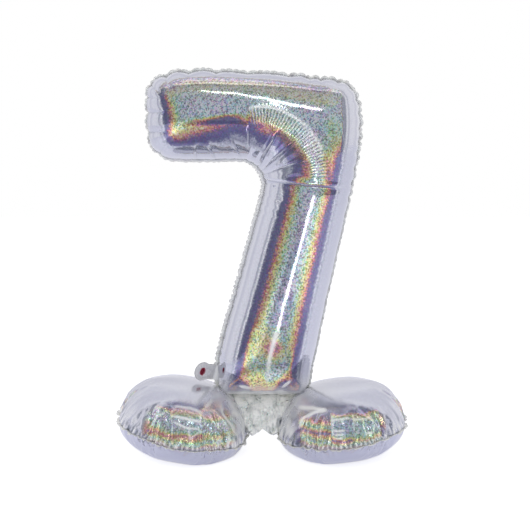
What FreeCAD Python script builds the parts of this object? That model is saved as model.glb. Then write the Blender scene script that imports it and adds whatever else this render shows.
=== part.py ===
"""Standing foil number balloon: a figure seven that stands on two air-filled foot pillows.

Frame: millimetres, +Z up, the front of the figure faces -Y and +X is the reader's right.
The origin is on the floor, under the middle of the balloon.
Every inflated chamber is a thin film shell, split along its heat-sealed edge into the two
sheets that it is welded from. The welded edge is a piece of its own.
"""
import FreeCAD
import Part
import math
import os
from FreeCAD import Matrix, Placement, Rotation, Vector

# ---------------------------------------------------------------- driving dimensions
FILM = 0.8              # wall of the inflated sheets; the real film is about 0.03 thick
WELD_HALF = 0.8         # half the thickness of a heat-sealed edge
WELD_WIDTH = 5.0        # how far the sealed edge stands out of the chamber
CLEAR = 7.0             # room round the number where the feet would press on it

# Number: the seam line, as the tube's outer and inner point at each place along it.
TUBE_DEPTH = 72.0       # half the front-to-back size of the full tube
ARC_STEPS = 10          # spans across each sheet of the tube
BEND_X, BEND_Z = -42.0, 506.0    # middle of the inner bend
BEND_RADIUS = 49.0
# left end of the bar: outer x, outer z, inner x, inner z, share of the full depth
BAR_STATIONS = [
    (-209.5, 668.0, -208.0, 606.0, 0.05),
    (-206.0, 684.0, -202.5, 584.0, 0.32),
    (-196.0, 697.0, -190.0, 566.5, 0.58),
    (-176.0, 706.5, -168.0, 556.5, 0.80),
    (-140.0, 712.5, -132.0, 554.0, 0.94),
    (-92.0, 714.0, -90.0, 554.0, 1.00),
]
# round the corner: angle of the ray from the middle of the bend, outer x, outer z, depth
BEND_STATIONS = [
    (90.0, -42.0, 712.0, 1.00),
    (70.0, 32.0, 708.5, 1.02),
    (52.0, 110.0, 700.0, 1.03),
    (42.0, 161.0, 687.0, 1.02),
    (32.0, 179.0, 642.0, 1.02),
    (22.0, 180.0, 595.0, 1.02),
    (9.0, 173.0, 541.0, 1.01),
    (-6.0, 162.5, 484.5, 1.00),
]
# stem down to the rounded foot of the number, as in BAR_STATIONS
STEM_STATIONS = [
    (151.0, 428.0, -5.0, 455.0, 1.00),
    (134.5, 352.0, -25.5, 382.0, 1.00),
    (117.0, 270.0, -49.0, 296.0, 1.00),
    (103.5, 202.0, -71.0, 218.0, 0.97),
    (96.0, 166.0, -80.5, 174.0, 0.86),
    (90.5, 138.0, -82.5, 142.0, 0.66),
    (85.5, 120.0, -79.5, 121.0, 0.42),
    (76.0, 108.5, -71.0, 108.5, 0.07),
]

# Feet: pillows that the waist tips up at their outer ends, cut flat by the floor
FOOT_SEAM_Z = 48.0      # height of the seam over the middle of each foot
FOOT_SAG = 48.6         # depth of the lower half
FOOT_FLAT = 0.3         # share of the pillow's width that its lower half leaves flat
LEFT_FOOT = {"x": -150.0, "half_width": 124.0, "half_depth": 168.0, "top": 90.0, "tilt": 10.0}
RIGHT_FOOT = {"x": 152.0, "half_width": 122.5, "half_depth": 166.0, "top": 86.0, "tilt": -7.0}

# Waist: level ellipses from the tie under the number to the notch between the feet
WAIST_X = 2.0
WAIST_STATIONS = [      # z, half width, half depth
    (103.8, 62.0, 3.0),
    (98.0, 66.0, 13.0),
    (85.0, 62.0, 30.0),
    (66.0, 54.0, 42.0),
    (46.0, 42.0, 45.0),
    (32.0, 28.0, 36.0),
    (25.0, 13.0, 18.0),
]
ARCH_TOP = 52.0         # top of the open arch under the waist
ARCH_SLOPE = 0.95       # fall of the arch's two sides
LEAN_AXIS_Z = 105.0     # the crease that the number leans on

# Filling tail and its self-sealing valve, laid out flat along +u from the fold
TAIL_ROOT = Vector(-90.0, 0.0, 150.0)    # middle of the fold line
TAIL_RISE = 14.0        # degrees that the tail points above level
TAIL_SWING = 38.0       # degrees that it hangs forward at rest
TAIL_FILM = 0.5
NECK_HALF = 15.0        # half height of the neck
LOBE_U, LOBE_RADIUS = 28.0, 18.0         # rounded end of the tail
NECK_START = -14.0      # where the neck starts, inside the sealed edge of the stem
SLEEVE_ROOM = 20.0      # how far past the neck's start the sealed edge is opened for the sleeve
FOLD_RADIUS = 1.0
FOLD_GAP = 0.4
PLY = 0.4               # valve sheets
PLY_INNER = 0.2         # half the air channel between them
SLEEVE_HALF = 11.0      # half height of the valve sleeve
SLEEVE_LENGTH = 84.0    # how far it reaches into the number
SLEEVE_WELD = 2.5
TAIL_WELD = 3.5
INLET_U = 29.0          # middle of the filling hole
INLET_HALF = (4.5, 6.0)
MARK_HALF = (6.5, 8.5)  # printed ring round the hole
MARK_THICK = 0.2

AHEAD = Vector(0, 1, 0)
BIG = 2000.0


# ---------------------------------------------------------------- number
def number_stations():
    """Every station as (outer point, inner point, half depth)."""
    rows = []
    for outer_x, outer_z, inner_x, inner_z, share in BAR_STATIONS:
        rows.append((Vector(outer_x, 0, outer_z), Vector(inner_x, 0, inner_z), share * TUBE_DEPTH))
    for angle, outer_x, outer_z, share in BEND_STATIONS:
        turn = math.radians(angle)
        inner = Vector(BEND_X + BEND_RADIUS * math.cos(turn), 0, BEND_Z + BEND_RADIUS * math.sin(turn))
        rows.append((Vector(outer_x, 0, outer_z), inner, share * TUBE_DEPTH))
    for outer_x, outer_z, inner_x, inner_z, share in STEM_STATIONS:
        rows.append((Vector(outer_x, 0, outer_z), Vector(inner_x, 0, inner_z), share * TUBE_DEPTH))
    return rows


def tube_solid(rows, grow):
    """A closed tube of oval sections, grown by a distance all round (or shrunk, when negative)."""
    ends = {0: 1, len(rows) - 1: len(rows) - 2}
    faces = []
    rims = ([], [])
    for side in (-1, 1):
        grid = []
        for index, (outer, inner, half_depth) in enumerate(rows):
            middle = (outer + inner) * 0.5
            across = (outer - inner) * 0.5
            across = across * (1 + grow / across.Length)
            if index in ends:
                neighbour = rows[ends[index]]
                outward = middle - (neighbour[0] + neighbour[1]) * 0.5
                middle = middle + outward.normalize() * grow
            deep = AHEAD * (side * max(half_depth + grow, 1.0))
            grid.append([middle + across * math.cos(math.pi * step / ARC_STEPS)
                         + deep * math.sin(math.pi * step / ARC_STEPS)
                         for step in range(ARC_STEPS + 1)])
        sheet = Part.BSplineSurface()
        sheet.interpolate(grid)
        faces.append(sheet.toShape())
        first, last = sheet.bounds()[:2]
        rims[0].append(sheet.uIso(first).toShape())
        rims[1].append(sheet.uIso(last).toShape())
    for rim in rims:
        faces.append(Part.Face(Part.Wire(Part.__sortEdges__(rim))))
    shell = Part.makeShell(faces)
    shell.sewShape()
    solid = Part.Solid(shell)
    if solid.Volume < 0:
        solid.reverse()
    return solid


def number_solid(grow):
    """The number as one solid."""
    return tube_solid(number_stations(), grow)


def slab(axis, low, high):
    """A wide box that keeps only what lies between two heights along one axis."""
    size = [2 * BIG, 2 * BIG, 2 * BIG]
    corner = [-BIG, -BIG, -BIG]
    index = "xyz".index(axis)
    size[index] = high - low
    corner[index] = low
    return Part.makeBox(size[0], size[1], size[2], Vector(*corner))


def outline(solid, height):
    """The solid's outline in the plane y = height, laid back into the plane y = 0."""
    wire = solid.slice(AHEAD, height)[0]
    face = Part.Face(wire)
    face.translate(Vector(0, -height, 0))
    return face


def plate(face, low, high):
    """A flat face in the plane y = 0 made into a plate between two depths."""
    copy = face.copy()
    copy.translate(Vector(0, low, 0))
    return copy.extrude(AHEAD * (high - low))


# ---------------------------------------------------------------- feet
def stand(shape, foot):
    """Tips a shape drawn round a foot's own level seam, and carries it to the foot's place."""
    shape.rotate(Vector(0, 0, 0), Vector(0, 1, 0), foot["tilt"])
    shape.translate(Vector(foot["x"], 0, FOOT_SEAM_Z))
    return shape


def foot_solid(foot, grow):
    """A pillow: a dome above the seam, and a sagging half below it that the floor presses flat."""
    radius = foot["half_width"] + grow
    stretch = (foot["half_depth"] + grow) / radius
    top = foot["top"] + grow
    flat = radius * FOOT_FLAT
    lowest = -(FOOT_SAG + grow)
    seam = Vector(radius, 0, 0)
    peak = Vector(0, 0, top)
    below = Vector(flat, 0, lowest)
    dome = quarter(Vector(0, 0, 0), seam, peak)
    sag = quarter(Vector(flat, 0, 0), seam, below)
    bottom = Part.makeLine(below, Vector(0, 0, lowest))
    axis = Part.makeLine(Vector(0, 0, lowest), peak)
    profile = Part.Face(Part.Wire([dome, sag, bottom, axis]))
    turned = profile.revolve(Vector(0, 0, 0), Vector(0, 0, 1), 360)
    scale = Matrix()
    scale.scale(Vector(1.0, stretch, 1.0))
    pillow = stand(turned.transformGeometry(scale), foot)
    return pillow.common(slab("z", -grow, BIG)).Solids[0]


def quarter(centre, start, end):
    """A quarter ellipse round a centre, from one end of its axes to the other."""
    if (start - centre).Length >= (end - centre).Length:
        curve = Part.Ellipse(start, end, centre)
    else:
        curve = Part.Ellipse(end, start, centre)
    first = curve.parameter(start)
    last = curve.parameter(end)
    if (last - first) % (2 * math.pi) > math.pi:
        first, last = last, first
    return Part.Edge(curve, first, last if last > first else last + 2 * math.pi)


def oval(half_width, half_depth):
    """A level oval face round the origin."""
    middle = Vector(0, 0, 0)
    side = Vector(half_width, 0, 0)
    front = Vector(0, half_depth, 0)
    if half_width >= half_depth:
        curve = Part.Ellipse(side, front, middle)
    else:
        curve = Part.Ellipse(front, side, middle)
    return Part.Face(Part.Wire([curve.toShape()]))


def foot_weld(foot):
    """The sealed edge of a pillow: a flat ring between the two sheets."""
    reach = oval(foot["half_width"] + WELD_WIDTH, foot["half_depth"] + WELD_WIDTH)
    hollow = oval(foot["half_width"] - FILM, foot["half_depth"] - FILM)
    ring = reach.extrude(Vector(0, 0, 2 * WELD_HALF)).cut(hollow.extrude(Vector(0, 0, 2 * WELD_HALF)))
    ring.translate(Vector(0, 0, -WELD_HALF))
    return stand(ring, foot)


# ---------------------------------------------------------------- waist
def waist_solid(grow):
    """The gathered neck between the number and the feet, as one solid."""
    rows = [(Vector(WAIST_X + half_width, 0, height), Vector(WAIST_X - half_width, 0, height), half_depth)
            for height, half_width, half_depth in WAIST_STATIONS]
    top = ARCH_TOP - grow * math.hypot(1, ARCH_SLOPE)
    foot = top / ARCH_SLOPE
    arch = Part.Face(Part.makePolygon([
        Vector(WAIST_X - foot, -BIG / 2, 0), Vector(WAIST_X + foot, -BIG / 2, 0), Vector(WAIST_X, -BIG / 2, top),
        Vector(WAIST_X - foot, -BIG / 2, 0)]))
    return tube_solid(rows, grow).cut(arch.extrude(AHEAD * BIG))


# ---------------------------------------------------------------- tail and valve
def bar(u_low, u_high, half_height, low, high):
    """A flat strip of the tail's own layout: u along it, v up, y through it."""
    return Part.makeBox(u_high - u_low, high - low, 2 * half_height, Vector(u_low, low, -half_height))


def disc(u, half_u, half_v, low, high):
    """A flat oval of the tail's own layout."""
    middle = Vector(u, low, 0)
    tall = middle + Vector(0, 0, half_v)
    wide = middle + Vector(half_u, 0, 0)
    curve = Part.Ellipse(tall, wide, middle) if half_v > half_u else Part.Ellipse(wide, tall, middle)
    if half_u == half_v:
        curve = Part.Circle(middle, AHEAD, half_u)
    return Part.Face(Part.Wire([curve.toShape()])).extrude(AHEAD * (high - low))


def tail_outline(inset, low, high):
    """The tail's shape: a neck with a rounded lobe at its end."""
    start = FOLD_RADIUS + FOLD_GAP
    neck = bar(start, LOBE_U, NECK_HALF - inset, low, high)
    lobe = disc(LOBE_U, LOBE_RADIUS - inset, LOBE_RADIUS - inset, low, high)
    return neck.fuse(lobe).removeSplitter()


def place_flat(shape):
    """Carries a shape from the tail's layout to the number's left edge, unswung."""
    turn = Rotation(Vector(0, 1, 0), 180 + TAIL_RISE)
    shape.Placement = Placement(TAIL_ROOT, turn).multiply(shape.Placement)
    return shape


def place_swung(shape):
    """As place_flat, and then hangs the shape forward about the fold line."""
    shape.rotate(Vector(0, 0, 0), Vector(0, 0, 1), -TAIL_SWING)
    return place_flat(shape)


def build():
    """All the pieces, as a dictionary of node name to shape."""
    parts = {}

    # number: two sheets and their sealed edge
    outer = number_solid(0)
    inner = number_solid(-FILM)
    shell = outer.cut(inner)
    parts["number_front_film"] = shell.common(slab("y", -BIG, -WELD_HALF))
    parts["number_back_film"] = shell.common(slab("y", WELD_HALF, BIG))
    edge = outline(number_solid(WELD_WIDTH), WELD_HALF)
    hollow = plate(outline(inner, WELD_HALF), -WELD_HALF, WELD_HALF)
    weld = plate(edge, -WELD_HALF, WELD_HALF).cut(hollow)
    weld = weld.common(slab("z", LEAN_AXIS_Z, BIG))
    crease_width = 2 * WAIST_STATIONS[0][1]
    crease = Part.makeCylinder(
        WELD_HALF, crease_width, Vector(WAIST_X - crease_width / 2, 0, LEAN_AXIS_Z), Vector(1, 0, 0))

    # neck of the tail, which is one with the number's sealed edge
    neck = bar(NECK_START, 0, NECK_HALF, -WELD_HALF, WELD_HALF)
    fold = Part.makeCylinder(FOLD_RADIUS, 2 * NECK_HALF, Vector(0, 0, -NECK_HALF), Vector(0, 0, 1))
    sleeve_room = bar(NECK_START - SLEEVE_ROOM, FOLD_RADIUS, SLEEVE_HALF, -PLY_INNER - PLY, PLY_INNER + PLY)
    neck = place_flat(neck.fuse(fold))
    weld = weld.fuse(crease).fuse(neck.cut(hollow)).cut(place_flat(sleeve_room))
    parts["number_seam"] = weld.removeSplitter()

    # valve sleeve inside the number
    for name, low in (("front", -PLY_INNER - PLY), ("back", PLY_INNER)):
        ply = bar(-SLEEVE_LENGTH, FOLD_RADIUS, SLEEVE_HALF, low, low + PLY)
        parts["valve_%s_ply" % name] = place_flat(ply)
    welds = []
    for side in (-1, 1):
        strip = bar(-SLEEVE_LENGTH, FOLD_RADIUS, SLEEVE_WELD / 2, -PLY_INNER, PLY_INNER)
        strip.translate(Vector(0, 0, side * (SLEEVE_HALF - SLEEVE_WELD / 2)))
        welds.append(place_flat(strip))
    parts["valve_side_welds"] = Part.makeCompound(welds)

    # tail: two sheets, the sealed edge between them, and the valve's outer end
    reach = tail_outline(0, -WELD_HALF, WELD_HALF)
    room = tail_outline(TAIL_WELD, -WELD_HALF, WELD_HALF)
    open_end = bar(0, LOBE_U, NECK_HALF - TAIL_WELD, -WELD_HALF, WELD_HALF)
    parts["tail_seam"] = place_swung(reach.cut(room).cut(open_end))
    inlet = disc(INLET_U, INLET_HALF[0], INLET_HALF[1], -BIG, 0)
    front = tail_outline(0, -WELD_HALF - TAIL_FILM, -WELD_HALF).cut(inlet)
    parts["tail_front_film"] = place_swung(front)
    parts["tail_back_film"] = place_swung(tail_outline(0, WELD_HALF, WELD_HALF + TAIL_FILM))
    ply_end = LOBE_U + LOBE_RADIUS - TAIL_WELD
    for name, low in (("front", -PLY_INNER - PLY), ("back", PLY_INNER)):
        strip = bar(FOLD_RADIUS + FOLD_GAP, ply_end, NECK_HALF - TAIL_WELD, low, low + PLY)
        strip = strip.common(tail_outline(TAIL_WELD, low, low + PLY).fuse(
            bar(0, LOBE_U, NECK_HALF - TAIL_WELD, low, low + PLY)))
        if name == "front":
            strip = strip.cut(inlet)
        parts["tail_valve_%s_ply" % name] = place_swung(strip)
    mark_top = -WELD_HALF - TAIL_FILM
    mark = disc(INLET_U, MARK_HALF[0], MARK_HALF[1], mark_top - MARK_THICK, mark_top).cut(inlet)
    parts["inlet_mark"] = place_swung(mark)

    # feet, with a hollow where the number stands over them and a window into the waist
    seat = number_solid(CLEAR)
    waist_hollow = waist_solid(-FILM)
    feet = []
    for side, foot in (("left", LEFT_FOOT), ("right", RIGHT_FOOT)):
        body = foot_solid(foot, 0).cut(seat)
        room = foot_solid(foot, -FILM).cut(number_solid(CLEAR + FILM))
        wall = body.cut(room).cut(waist_hollow)
        ring = foot_weld(foot).cut(waist_hollow)
        parts[side + "_foot_top_film"] = wall.common(stand(slab("z", WELD_HALF, BIG), foot))
        parts[side + "_foot_bottom_film"] = wall.common(stand(slab("z", -BIG, -WELD_HALF), foot))
        parts[side + "_foot_seam"] = ring
        feet.append(body.fuse(foot_weld(foot)))

    # waist: front and back sheets, let into the feet
    waist = waist_solid(0).cut(waist_hollow)
    for body in feet:
        waist = waist.cut(body)
    parts["waist_front_film"] = waist.common(slab("y", -BIG, 0))
    parts["waist_back_film"] = waist.common(slab("y", 0, BIG))
    return parts


def largest(shape):
    """Drops slivers that a cut leaves beside the main solid."""
    solids = sorted(shape.Solids, key=lambda solid: solid.Volume)
    return solids[-1]


os.makedirs("parts", exist_ok=True)
for name, shape in build().items():
    if name != "valve_side_welds":
        if len(shape.Solids) > 1:
            print(name, "solids", [round(solid.Volume, 2) for solid in shape.Solids])
        shape = largest(shape)
    box = shape.BoundBox
    print("%-24s %9.1f mm3  x %7.1f %7.1f  y %7.1f %7.1f  z %7.1f %7.1f %s" % (
        name, shape.Volume, box.XMin, box.XMax, box.YMin, box.YMax, box.ZMin, box.ZMax,
        "" if shape.isValid() else "INVALID"))
    shape.exportStep("parts/%s.step" % name)
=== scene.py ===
# %% [markdown]
# # A standing foil number balloon
# The balloon is a figure seven of silver holographic film that stands on two air-filled foot
# pillows. Its working parts were drawn in CAD and packed. This lesson dresses them: every
# inflated chamber gets its film, its puckered sealed edge and its printed filling tail.

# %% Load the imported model
import math

import bpy
import numpy as np
from mathutils import Matrix, Vector, geometry, kdtree


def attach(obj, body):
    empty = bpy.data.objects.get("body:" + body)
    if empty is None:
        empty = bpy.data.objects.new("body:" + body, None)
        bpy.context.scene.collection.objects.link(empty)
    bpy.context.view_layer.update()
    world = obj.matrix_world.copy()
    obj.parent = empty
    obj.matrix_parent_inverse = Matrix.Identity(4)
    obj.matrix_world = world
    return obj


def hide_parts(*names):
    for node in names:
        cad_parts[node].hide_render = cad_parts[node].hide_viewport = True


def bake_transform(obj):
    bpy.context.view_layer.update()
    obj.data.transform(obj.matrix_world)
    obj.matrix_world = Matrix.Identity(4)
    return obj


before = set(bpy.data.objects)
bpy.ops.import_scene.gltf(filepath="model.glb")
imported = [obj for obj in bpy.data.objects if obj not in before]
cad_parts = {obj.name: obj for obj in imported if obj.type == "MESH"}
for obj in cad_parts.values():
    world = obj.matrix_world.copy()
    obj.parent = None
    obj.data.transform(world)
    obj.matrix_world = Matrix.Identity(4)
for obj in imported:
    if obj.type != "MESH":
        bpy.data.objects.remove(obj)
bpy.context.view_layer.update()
bpy.ops.object.select_all(action="DESELECT")

# %% [markdown]
# ## Real sizes
# The tube of the number follows stations: pairs of points on its sealed edge, outer and inner,
# with half the depth of the tube between them. They are the same values as the CAD part is drawn
# from, in millimetres, so the film lands on the solids without any fitting, and each mesh is
# scaled to metres as it is made.

# %% Sizes and stations
MM = 0.001
TUBE_DEPTH = 72.0
BEND_X, BEND_Z, BEND_RADIUS = -42.0, 506.0, 49.0
BAR = [
    (-209.5, 668, -208, 606, 0.0), (-206, 684, -202.5, 584, 0.32), (-196, 697, -190, 566.5, 0.58),
    (-176, 706.5, -168, 556.5, 0.80), (-140, 712.5, -132, 554, 0.94), (-92, 714, -90, 554, 1.0)]
CORNER = [
    (90, -42, 712, 1.0), (70, 32, 708.5, 1.02), (52, 110, 700, 1.03), (42, 161, 687, 1.02),
    (32, 179, 642, 1.02), (22, 180, 595, 1.02), (9, 173, 541, 1.01), (-6, 162.5, 484.5, 1.0)]
STEM = [
    (151, 428, -5, 455, 1.0), (134.5, 352, -25.5, 382, 1.0), (117, 270, -49, 296, 1.0),
    (103.5, 202, -71, 218, 0.97), (96, 166, -80.5, 174, 0.86), (90.5, 138, -82.5, 142, 0.66),
    (85.5, 120, -79.5, 121, 0.42), (76, 108.5, -71, 108.5, 0.0)]
FOOT_SEAM_Z, FOOT_SAG, FOOT_FLAT = 48.0, 48.6, 0.3
FEET = {"left": {"x": -150.0, "half_width": 124.0, "half_depth": 168.0, "top": 90.0,
                 "tilt": math.radians(10)},
        "right": {"x": 152.0, "half_width": 122.5, "half_depth": 166.0, "top": 86.0,
                  "tilt": math.radians(-7)}}
WAIST_X = 2.0
WELD_WIDTH = 5.0


def stations():
    """Rows of outer x, outer z, inner x, inner z and half depth, from the bar's end to the stem's foot."""
    rows = [list(row) for row in BAR]
    for angle, x, z, share in CORNER:
        turn = math.radians(angle)
        inner_x, inner_z = BEND_X + BEND_RADIUS * math.cos(turn), BEND_Z + BEND_RADIUS * math.sin(turn)
        rows.append([x, z, inner_x, inner_z, share])
    rows += [list(row) for row in STEM]
    rows = np.array(rows, float)
    rows[:, 4] *= TUBE_DEPTH
    return rows


print("stations", len(stations()))

# %% [markdown]
# ## Camera
# The balloon is looked at from the front and from a little above its middle, as it stands on a
# table. A long lens keeps the feet and the bar in true proportion. The view transform is
# Standard, because it leaves a white backdrop white.

# %% Camera
CAMERA_SPOT, CAMERA_AIM = (0, -2.3, 0.7), (0, 0, 0.35)
camera = bpy.data.objects.new("camera", bpy.data.cameras.new("camera"))
bpy.context.scene.collection.objects.link(camera)
camera.location = CAMERA_SPOT
camera.rotation_euler = (Vector(CAMERA_AIM) - camera.location).to_track_quat("-Z", "Y").to_euler()
camera.data.sensor_width = 36
camera.data.lens = 84.06
camera.data.shift_x = 0.0066
camera.data.shift_y = 0.0057
bpy.context.scene.camera = camera
bpy.context.scene.view_settings.view_transform = "Standard"
print("camera", tuple(round(v, 3) for v in camera.location))

# %% [markdown]
# ## A small node helper
# Every material below is a short chain of shader nodes. One function adds a node, sets it and
# wires what feeds it. Others turn the hex colours of a paint card into linear light, fill a
# colour ramp and start a material.


# %% Node helper and colours
def add_node(tree, kind, feeds=None, **settings):
    """Adds one node; feeds maps an input to a value, a socket that drives it or a node's first socket."""
    node = tree.nodes.new("ShaderNode" + kind)
    for key, value in settings.items():
        setattr(node, key, value)
    for key, value in (feeds or {}).items():
        value = value.outputs[0] if isinstance(value, bpy.types.Node) else value
        if isinstance(value, bpy.types.NodeSocket):
            tree.links.new(value, node.inputs[key])
        else:
            node.inputs[key].default_value = value
    return node


def linear(code, alpha=1.0):
    """An sRGB hex code as linear red, green, blue and alpha."""
    parts = [int(code[i:i + 2], 16) / 255 for i in (0, 2, 4)]
    return [c / 12.92 if c <= 0.04045 else ((c + 0.055) / 1.055) ** 2.4 for c in parts] + [alpha]


def set_ramp(node, stops):
    """Fills a colour ramp with (place, colour) stops."""
    ramp = node.color_ramp
    while len(ramp.elements) > 1:
        ramp.elements.remove(ramp.elements[-1])
    ramp.elements[0].position, ramp.elements[0].color = stops[0]
    for place, colour in stops[1:]:
        ramp.elements.new(place).color = colour
    return node


def new_material(name):
    """An empty material with its node tree, its shader and the piece's own coordinates."""
    made = bpy.data.materials.new(name)
    made.use_nodes = True
    tree = made.node_tree
    return made, tree, tree.nodes["Principled BSDF"], add_node(tree, "TexCoord")


print("grey card", [round(c, 3) for c in linear("808080")])

# %% [markdown]
# ## The room
# Mirror film shows nothing but its surroundings, so the room matters more than the lamps. It
# could be built of real walls, but a world whose tone goes by direction does the same and has no
# joints to show up in the film. White walls make the pale bands along the edges of the balloon,
# one dim wall in front of it makes its darker, coloured middle, and the fine line between the
# two tones draws the bright border that inflated film always has.

# %% Studio room
DIM_AZIMUTH, DIM_RISE = math.radians(6), math.radians(15)
WALL_TONES = [
    (0.0, "B4B7BE"), (0.33, "A9ACB4"), (0.385, "9A9CA8"), (0.41, "FFFFFF"), (0.44, "D4D5DC"),
    (0.455, "BDBEC8"), (0.47, "F2F2F6"), (0.58, "F8F8FB"), (0.66, "E2E2EA"), (0.72, "FAFAFC"),
    (0.84, "DCDCE4"), (1.0, "F4F4F6")]
room = bpy.data.worlds.new("studio_room")
room.use_nodes = True
room.node_tree.nodes.clear()
bpy.context.scene.world = room
tree = room.node_tree
looking = add_node(tree, "TexCoord")
dim_way = (math.sin(DIM_AZIMUTH) * math.cos(DIM_RISE), -math.cos(DIM_AZIMUTH) * math.cos(DIM_RISE),
           math.sin(DIM_RISE))
towards = add_node(tree, "VectorMath", {0: looking.outputs["Generated"], 1: dim_way}, operation="DOT_PRODUCT")
angle = add_node(tree, "Math", {0: towards.outputs["Value"]}, operation="ARCCOSINE")
share = add_node(tree, "Math", {0: angle, 1: math.pi}, operation="DIVIDE")
walls = set_ramp(add_node(tree, "ValToRGB", {0: share}),
                 [(place, linear(code)) for place, code in WALL_TONES])
# whoever looks straight past the balloon sees plain white
light_path = add_node(tree, "LightPath")
shown = add_node(tree, "Mix", {"Factor": light_path.outputs["Is Camera Ray"], 6: walls, 7: linear("FFFFFF")},
                 data_type="RGBA")
background = add_node(tree, "Background", {"Color": shown.outputs[2], "Strength": 1.0})
add_node(tree, "OutputWorld", {"Surface": background})
print("room walls", len(walls.color_ramp.elements), "tones")

# %% [markdown]
# ## Lamps
# A long soft box draws one clean white line on a tube of mirror film, because every point of
# the line mirrors some part of the box. One box stands along the stem and one along the bar.
# They are area lamps and not glowing boxes, so they show in the film alone. The third lamp is
# broad and soft. It is kept out of the film's mirror and lifts only dulled film and the white of
# the painted highlights.


# %% Strip lamps
LAMP_AIM = (0, 0, 0.35)


def strip_lamp(name, start, end, width, power):
    """A long soft box from start to end that faces the balloon."""
    lamp = bpy.data.objects.new(name, bpy.data.lights.new(name, "AREA"))
    bpy.context.scene.collection.objects.link(lamp)
    start, end = Vector(start), Vector(end)
    middle = (start + end) / 2
    lamp.data.shape = "RECTANGLE"
    lamp.data.size, lamp.data.size_y = width, (end - start).length
    lamp.data.energy = power
    lamp.visible_camera = False
    back = (middle - Vector(LAMP_AIM)).normalized()
    long = (end - start).normalized()
    back = (back - long * back.dot(long)).normalized()
    turned = Matrix((long.cross(back), long, back)).transposed().to_4x4()
    lamp.matrix_world = Matrix.Translation(middle) @ turned
    return lamp


strip_lamp("stem_strip", (0.075, -1.0, 0.008), (0.36, -1.0, 0.41), 0.06, 0.3)
strip_lamp("bar_strip", (0.25, -1.0, 1.27), (-0.22, -1.0, 2.5), 0.03, 0.6)
fill = strip_lamp("front_fill", (-0.3, -2.2, 0.5), (-0.3, -2.2, 1.9), 1.6, 23.0)
fill.visible_glossy = False
print("lamps", len(bpy.data.lights))

# %% [markdown]
# ## The floor
# The balloon stands on matt white paper, which scatters light evenly and has a faint fibre
# grain. It also glows a little, so that it meets the white backdrop without a line, while the
# feet still cast a soft shadow on it. In the film's mirror the floor is what lies below the
# horizon, and there it gets painted shade in front of the balloon, as dim as the room there, and
# a painted glow elsewhere.

# %% Floor and its paper
FLOOR_SIZE = 8
SIDE_FROM, SIDE_TO = 0.35, 0.8
FRONT_FROM, FRONT_TO = -0.36, -0.16
bpy.ops.mesh.primitive_plane_add(size=FLOOR_SIZE, location=(0, 0, 0))
floor = bpy.context.active_object
floor.name = "studio_floor"
paper, tree, skin, place = new_material("matt_white_backdrop_paper")
# paper fibre, drawn 11 mm coarse so that it shows at all
grain = add_node(tree, "TexNoise", {"Vector": place.outputs["Object"], "Scale": 90.0, "Detail": 3.0})
tone = set_ramp(add_node(tree, "ValToRGB", {0: grain.outputs["Fac"]}),
                [(0.3, linear("D6D6D6")), (0.7, linear("D9D9D9"))])
spot = add_node(tree, "SeparateXYZ", {0: place.outputs["Object"]})
sideways = add_node(tree, "Math", {0: spot}, operation="ABSOLUTE")
sideways = add_node(tree, "MapRange", {0: sideways, 1: SIDE_FROM, 2: SIDE_TO})
under = add_node(tree, "MapRange", {0: spot.outputs[1], 1: FRONT_FROM, 2: FRONT_TO})
bright = add_node(tree, "Math", {0: sideways, 1: under}, operation="MAXIMUM")
# painted shade in the film's mirror of the floor, in front of the balloon
painted_floor_shade = add_node(tree, "Mix", {"Factor": bright, 6: linear("ABABBC"), 7: linear("E8E8F0")},
                     data_type="RGBA")
seen = add_node(tree, "LightPath")
mirrored = add_node(tree, "Mix", {"Factor": seen.outputs["Is Camera Ray"], 6: painted_floor_shade.outputs[2], 7: tone},
                    data_type="RGBA")
glow = add_node(tree, "Math", {0: bright, 1: 0.2, 2: 0.05}, operation="MULTIPLY_ADD")
glow = add_node(tree, "Mix", {"Factor": seen.outputs["Is Camera Ray"], 2: glow, 3: 0.7})
tree.links.new(mirrored.outputs[2], skin.inputs["Base Color"])
tree.links.new(glow.outputs[0], skin.inputs["Emission Strength"])
skin.inputs["Emission Color"].default_value = linear("FFFFFF")
skin.inputs["Roughness"].default_value = 0.9
skin.inputs["Specular IOR Level"].default_value = 0.1
floor.data.materials.append(paper)
bpy.ops.object.select_all(action="DESELECT")
print("floor", floor.dimensions[:])


# %% [markdown]
# ## Holographic foil
# The film is nylon about 0.03 mm thick with a mirror of vapour-deposited aluminium. A fine
# grating of random square cells is pressed into it, so the part of the film that faces the dim
# wall breaks light into colours, cell by cell, while the turned-away edges stay plain silver.
# A picture of foil could be wrapped round the balloon, but it would not turn with the film. Here
# the colour follows the film's own slope, measured from the front of the balloon: the colours
# that the grating makes from the light are painted into the film as they show from the front.

# %% How far film is turned from the front
CELL = 2.3 * MM      # the real cells are under 1 mm; this is the finest size that still shows
STREAK = 4.0 * MM    # width of the fine gathers along a weld
EDGE_ANGLE = 31.0    # degrees from the facing direction where the colours end


def facing_ways(facing, spread):
    """Directions ahead, aside and above of facing (azimuth and rise in degrees), scaled by the spread."""
    turn, rise = (math.radians(v) for v in facing)
    gain = [math.tan(math.radians(EDGE_ANGLE)) / math.tan(math.radians(v)) for v in spread]
    return (np.array([math.sin(turn) * math.cos(rise), math.cos(turn) * math.cos(rise), math.sin(rise)]),
            np.array([math.cos(turn), -math.sin(turn), 0]) * gain[0],
            np.array([-math.sin(turn) * math.sin(rise), -math.cos(turn) * math.sin(rise),
                      math.cos(rise)]) * gain[1])


def colour_place(normals, facing, spread):
    """Where smooth film stands among its colours, from 0 facing forward to 1 square to that."""
    front = np.c_[normals[:, 0], np.abs(normals[:, 1]), normals[:, 2]]
    ahead, aside, above = (front @ way for way in facing_ways(facing, spread))
    return np.arctan2(np.hypot(aside, above), ahead) / (math.pi / 2)


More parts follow.
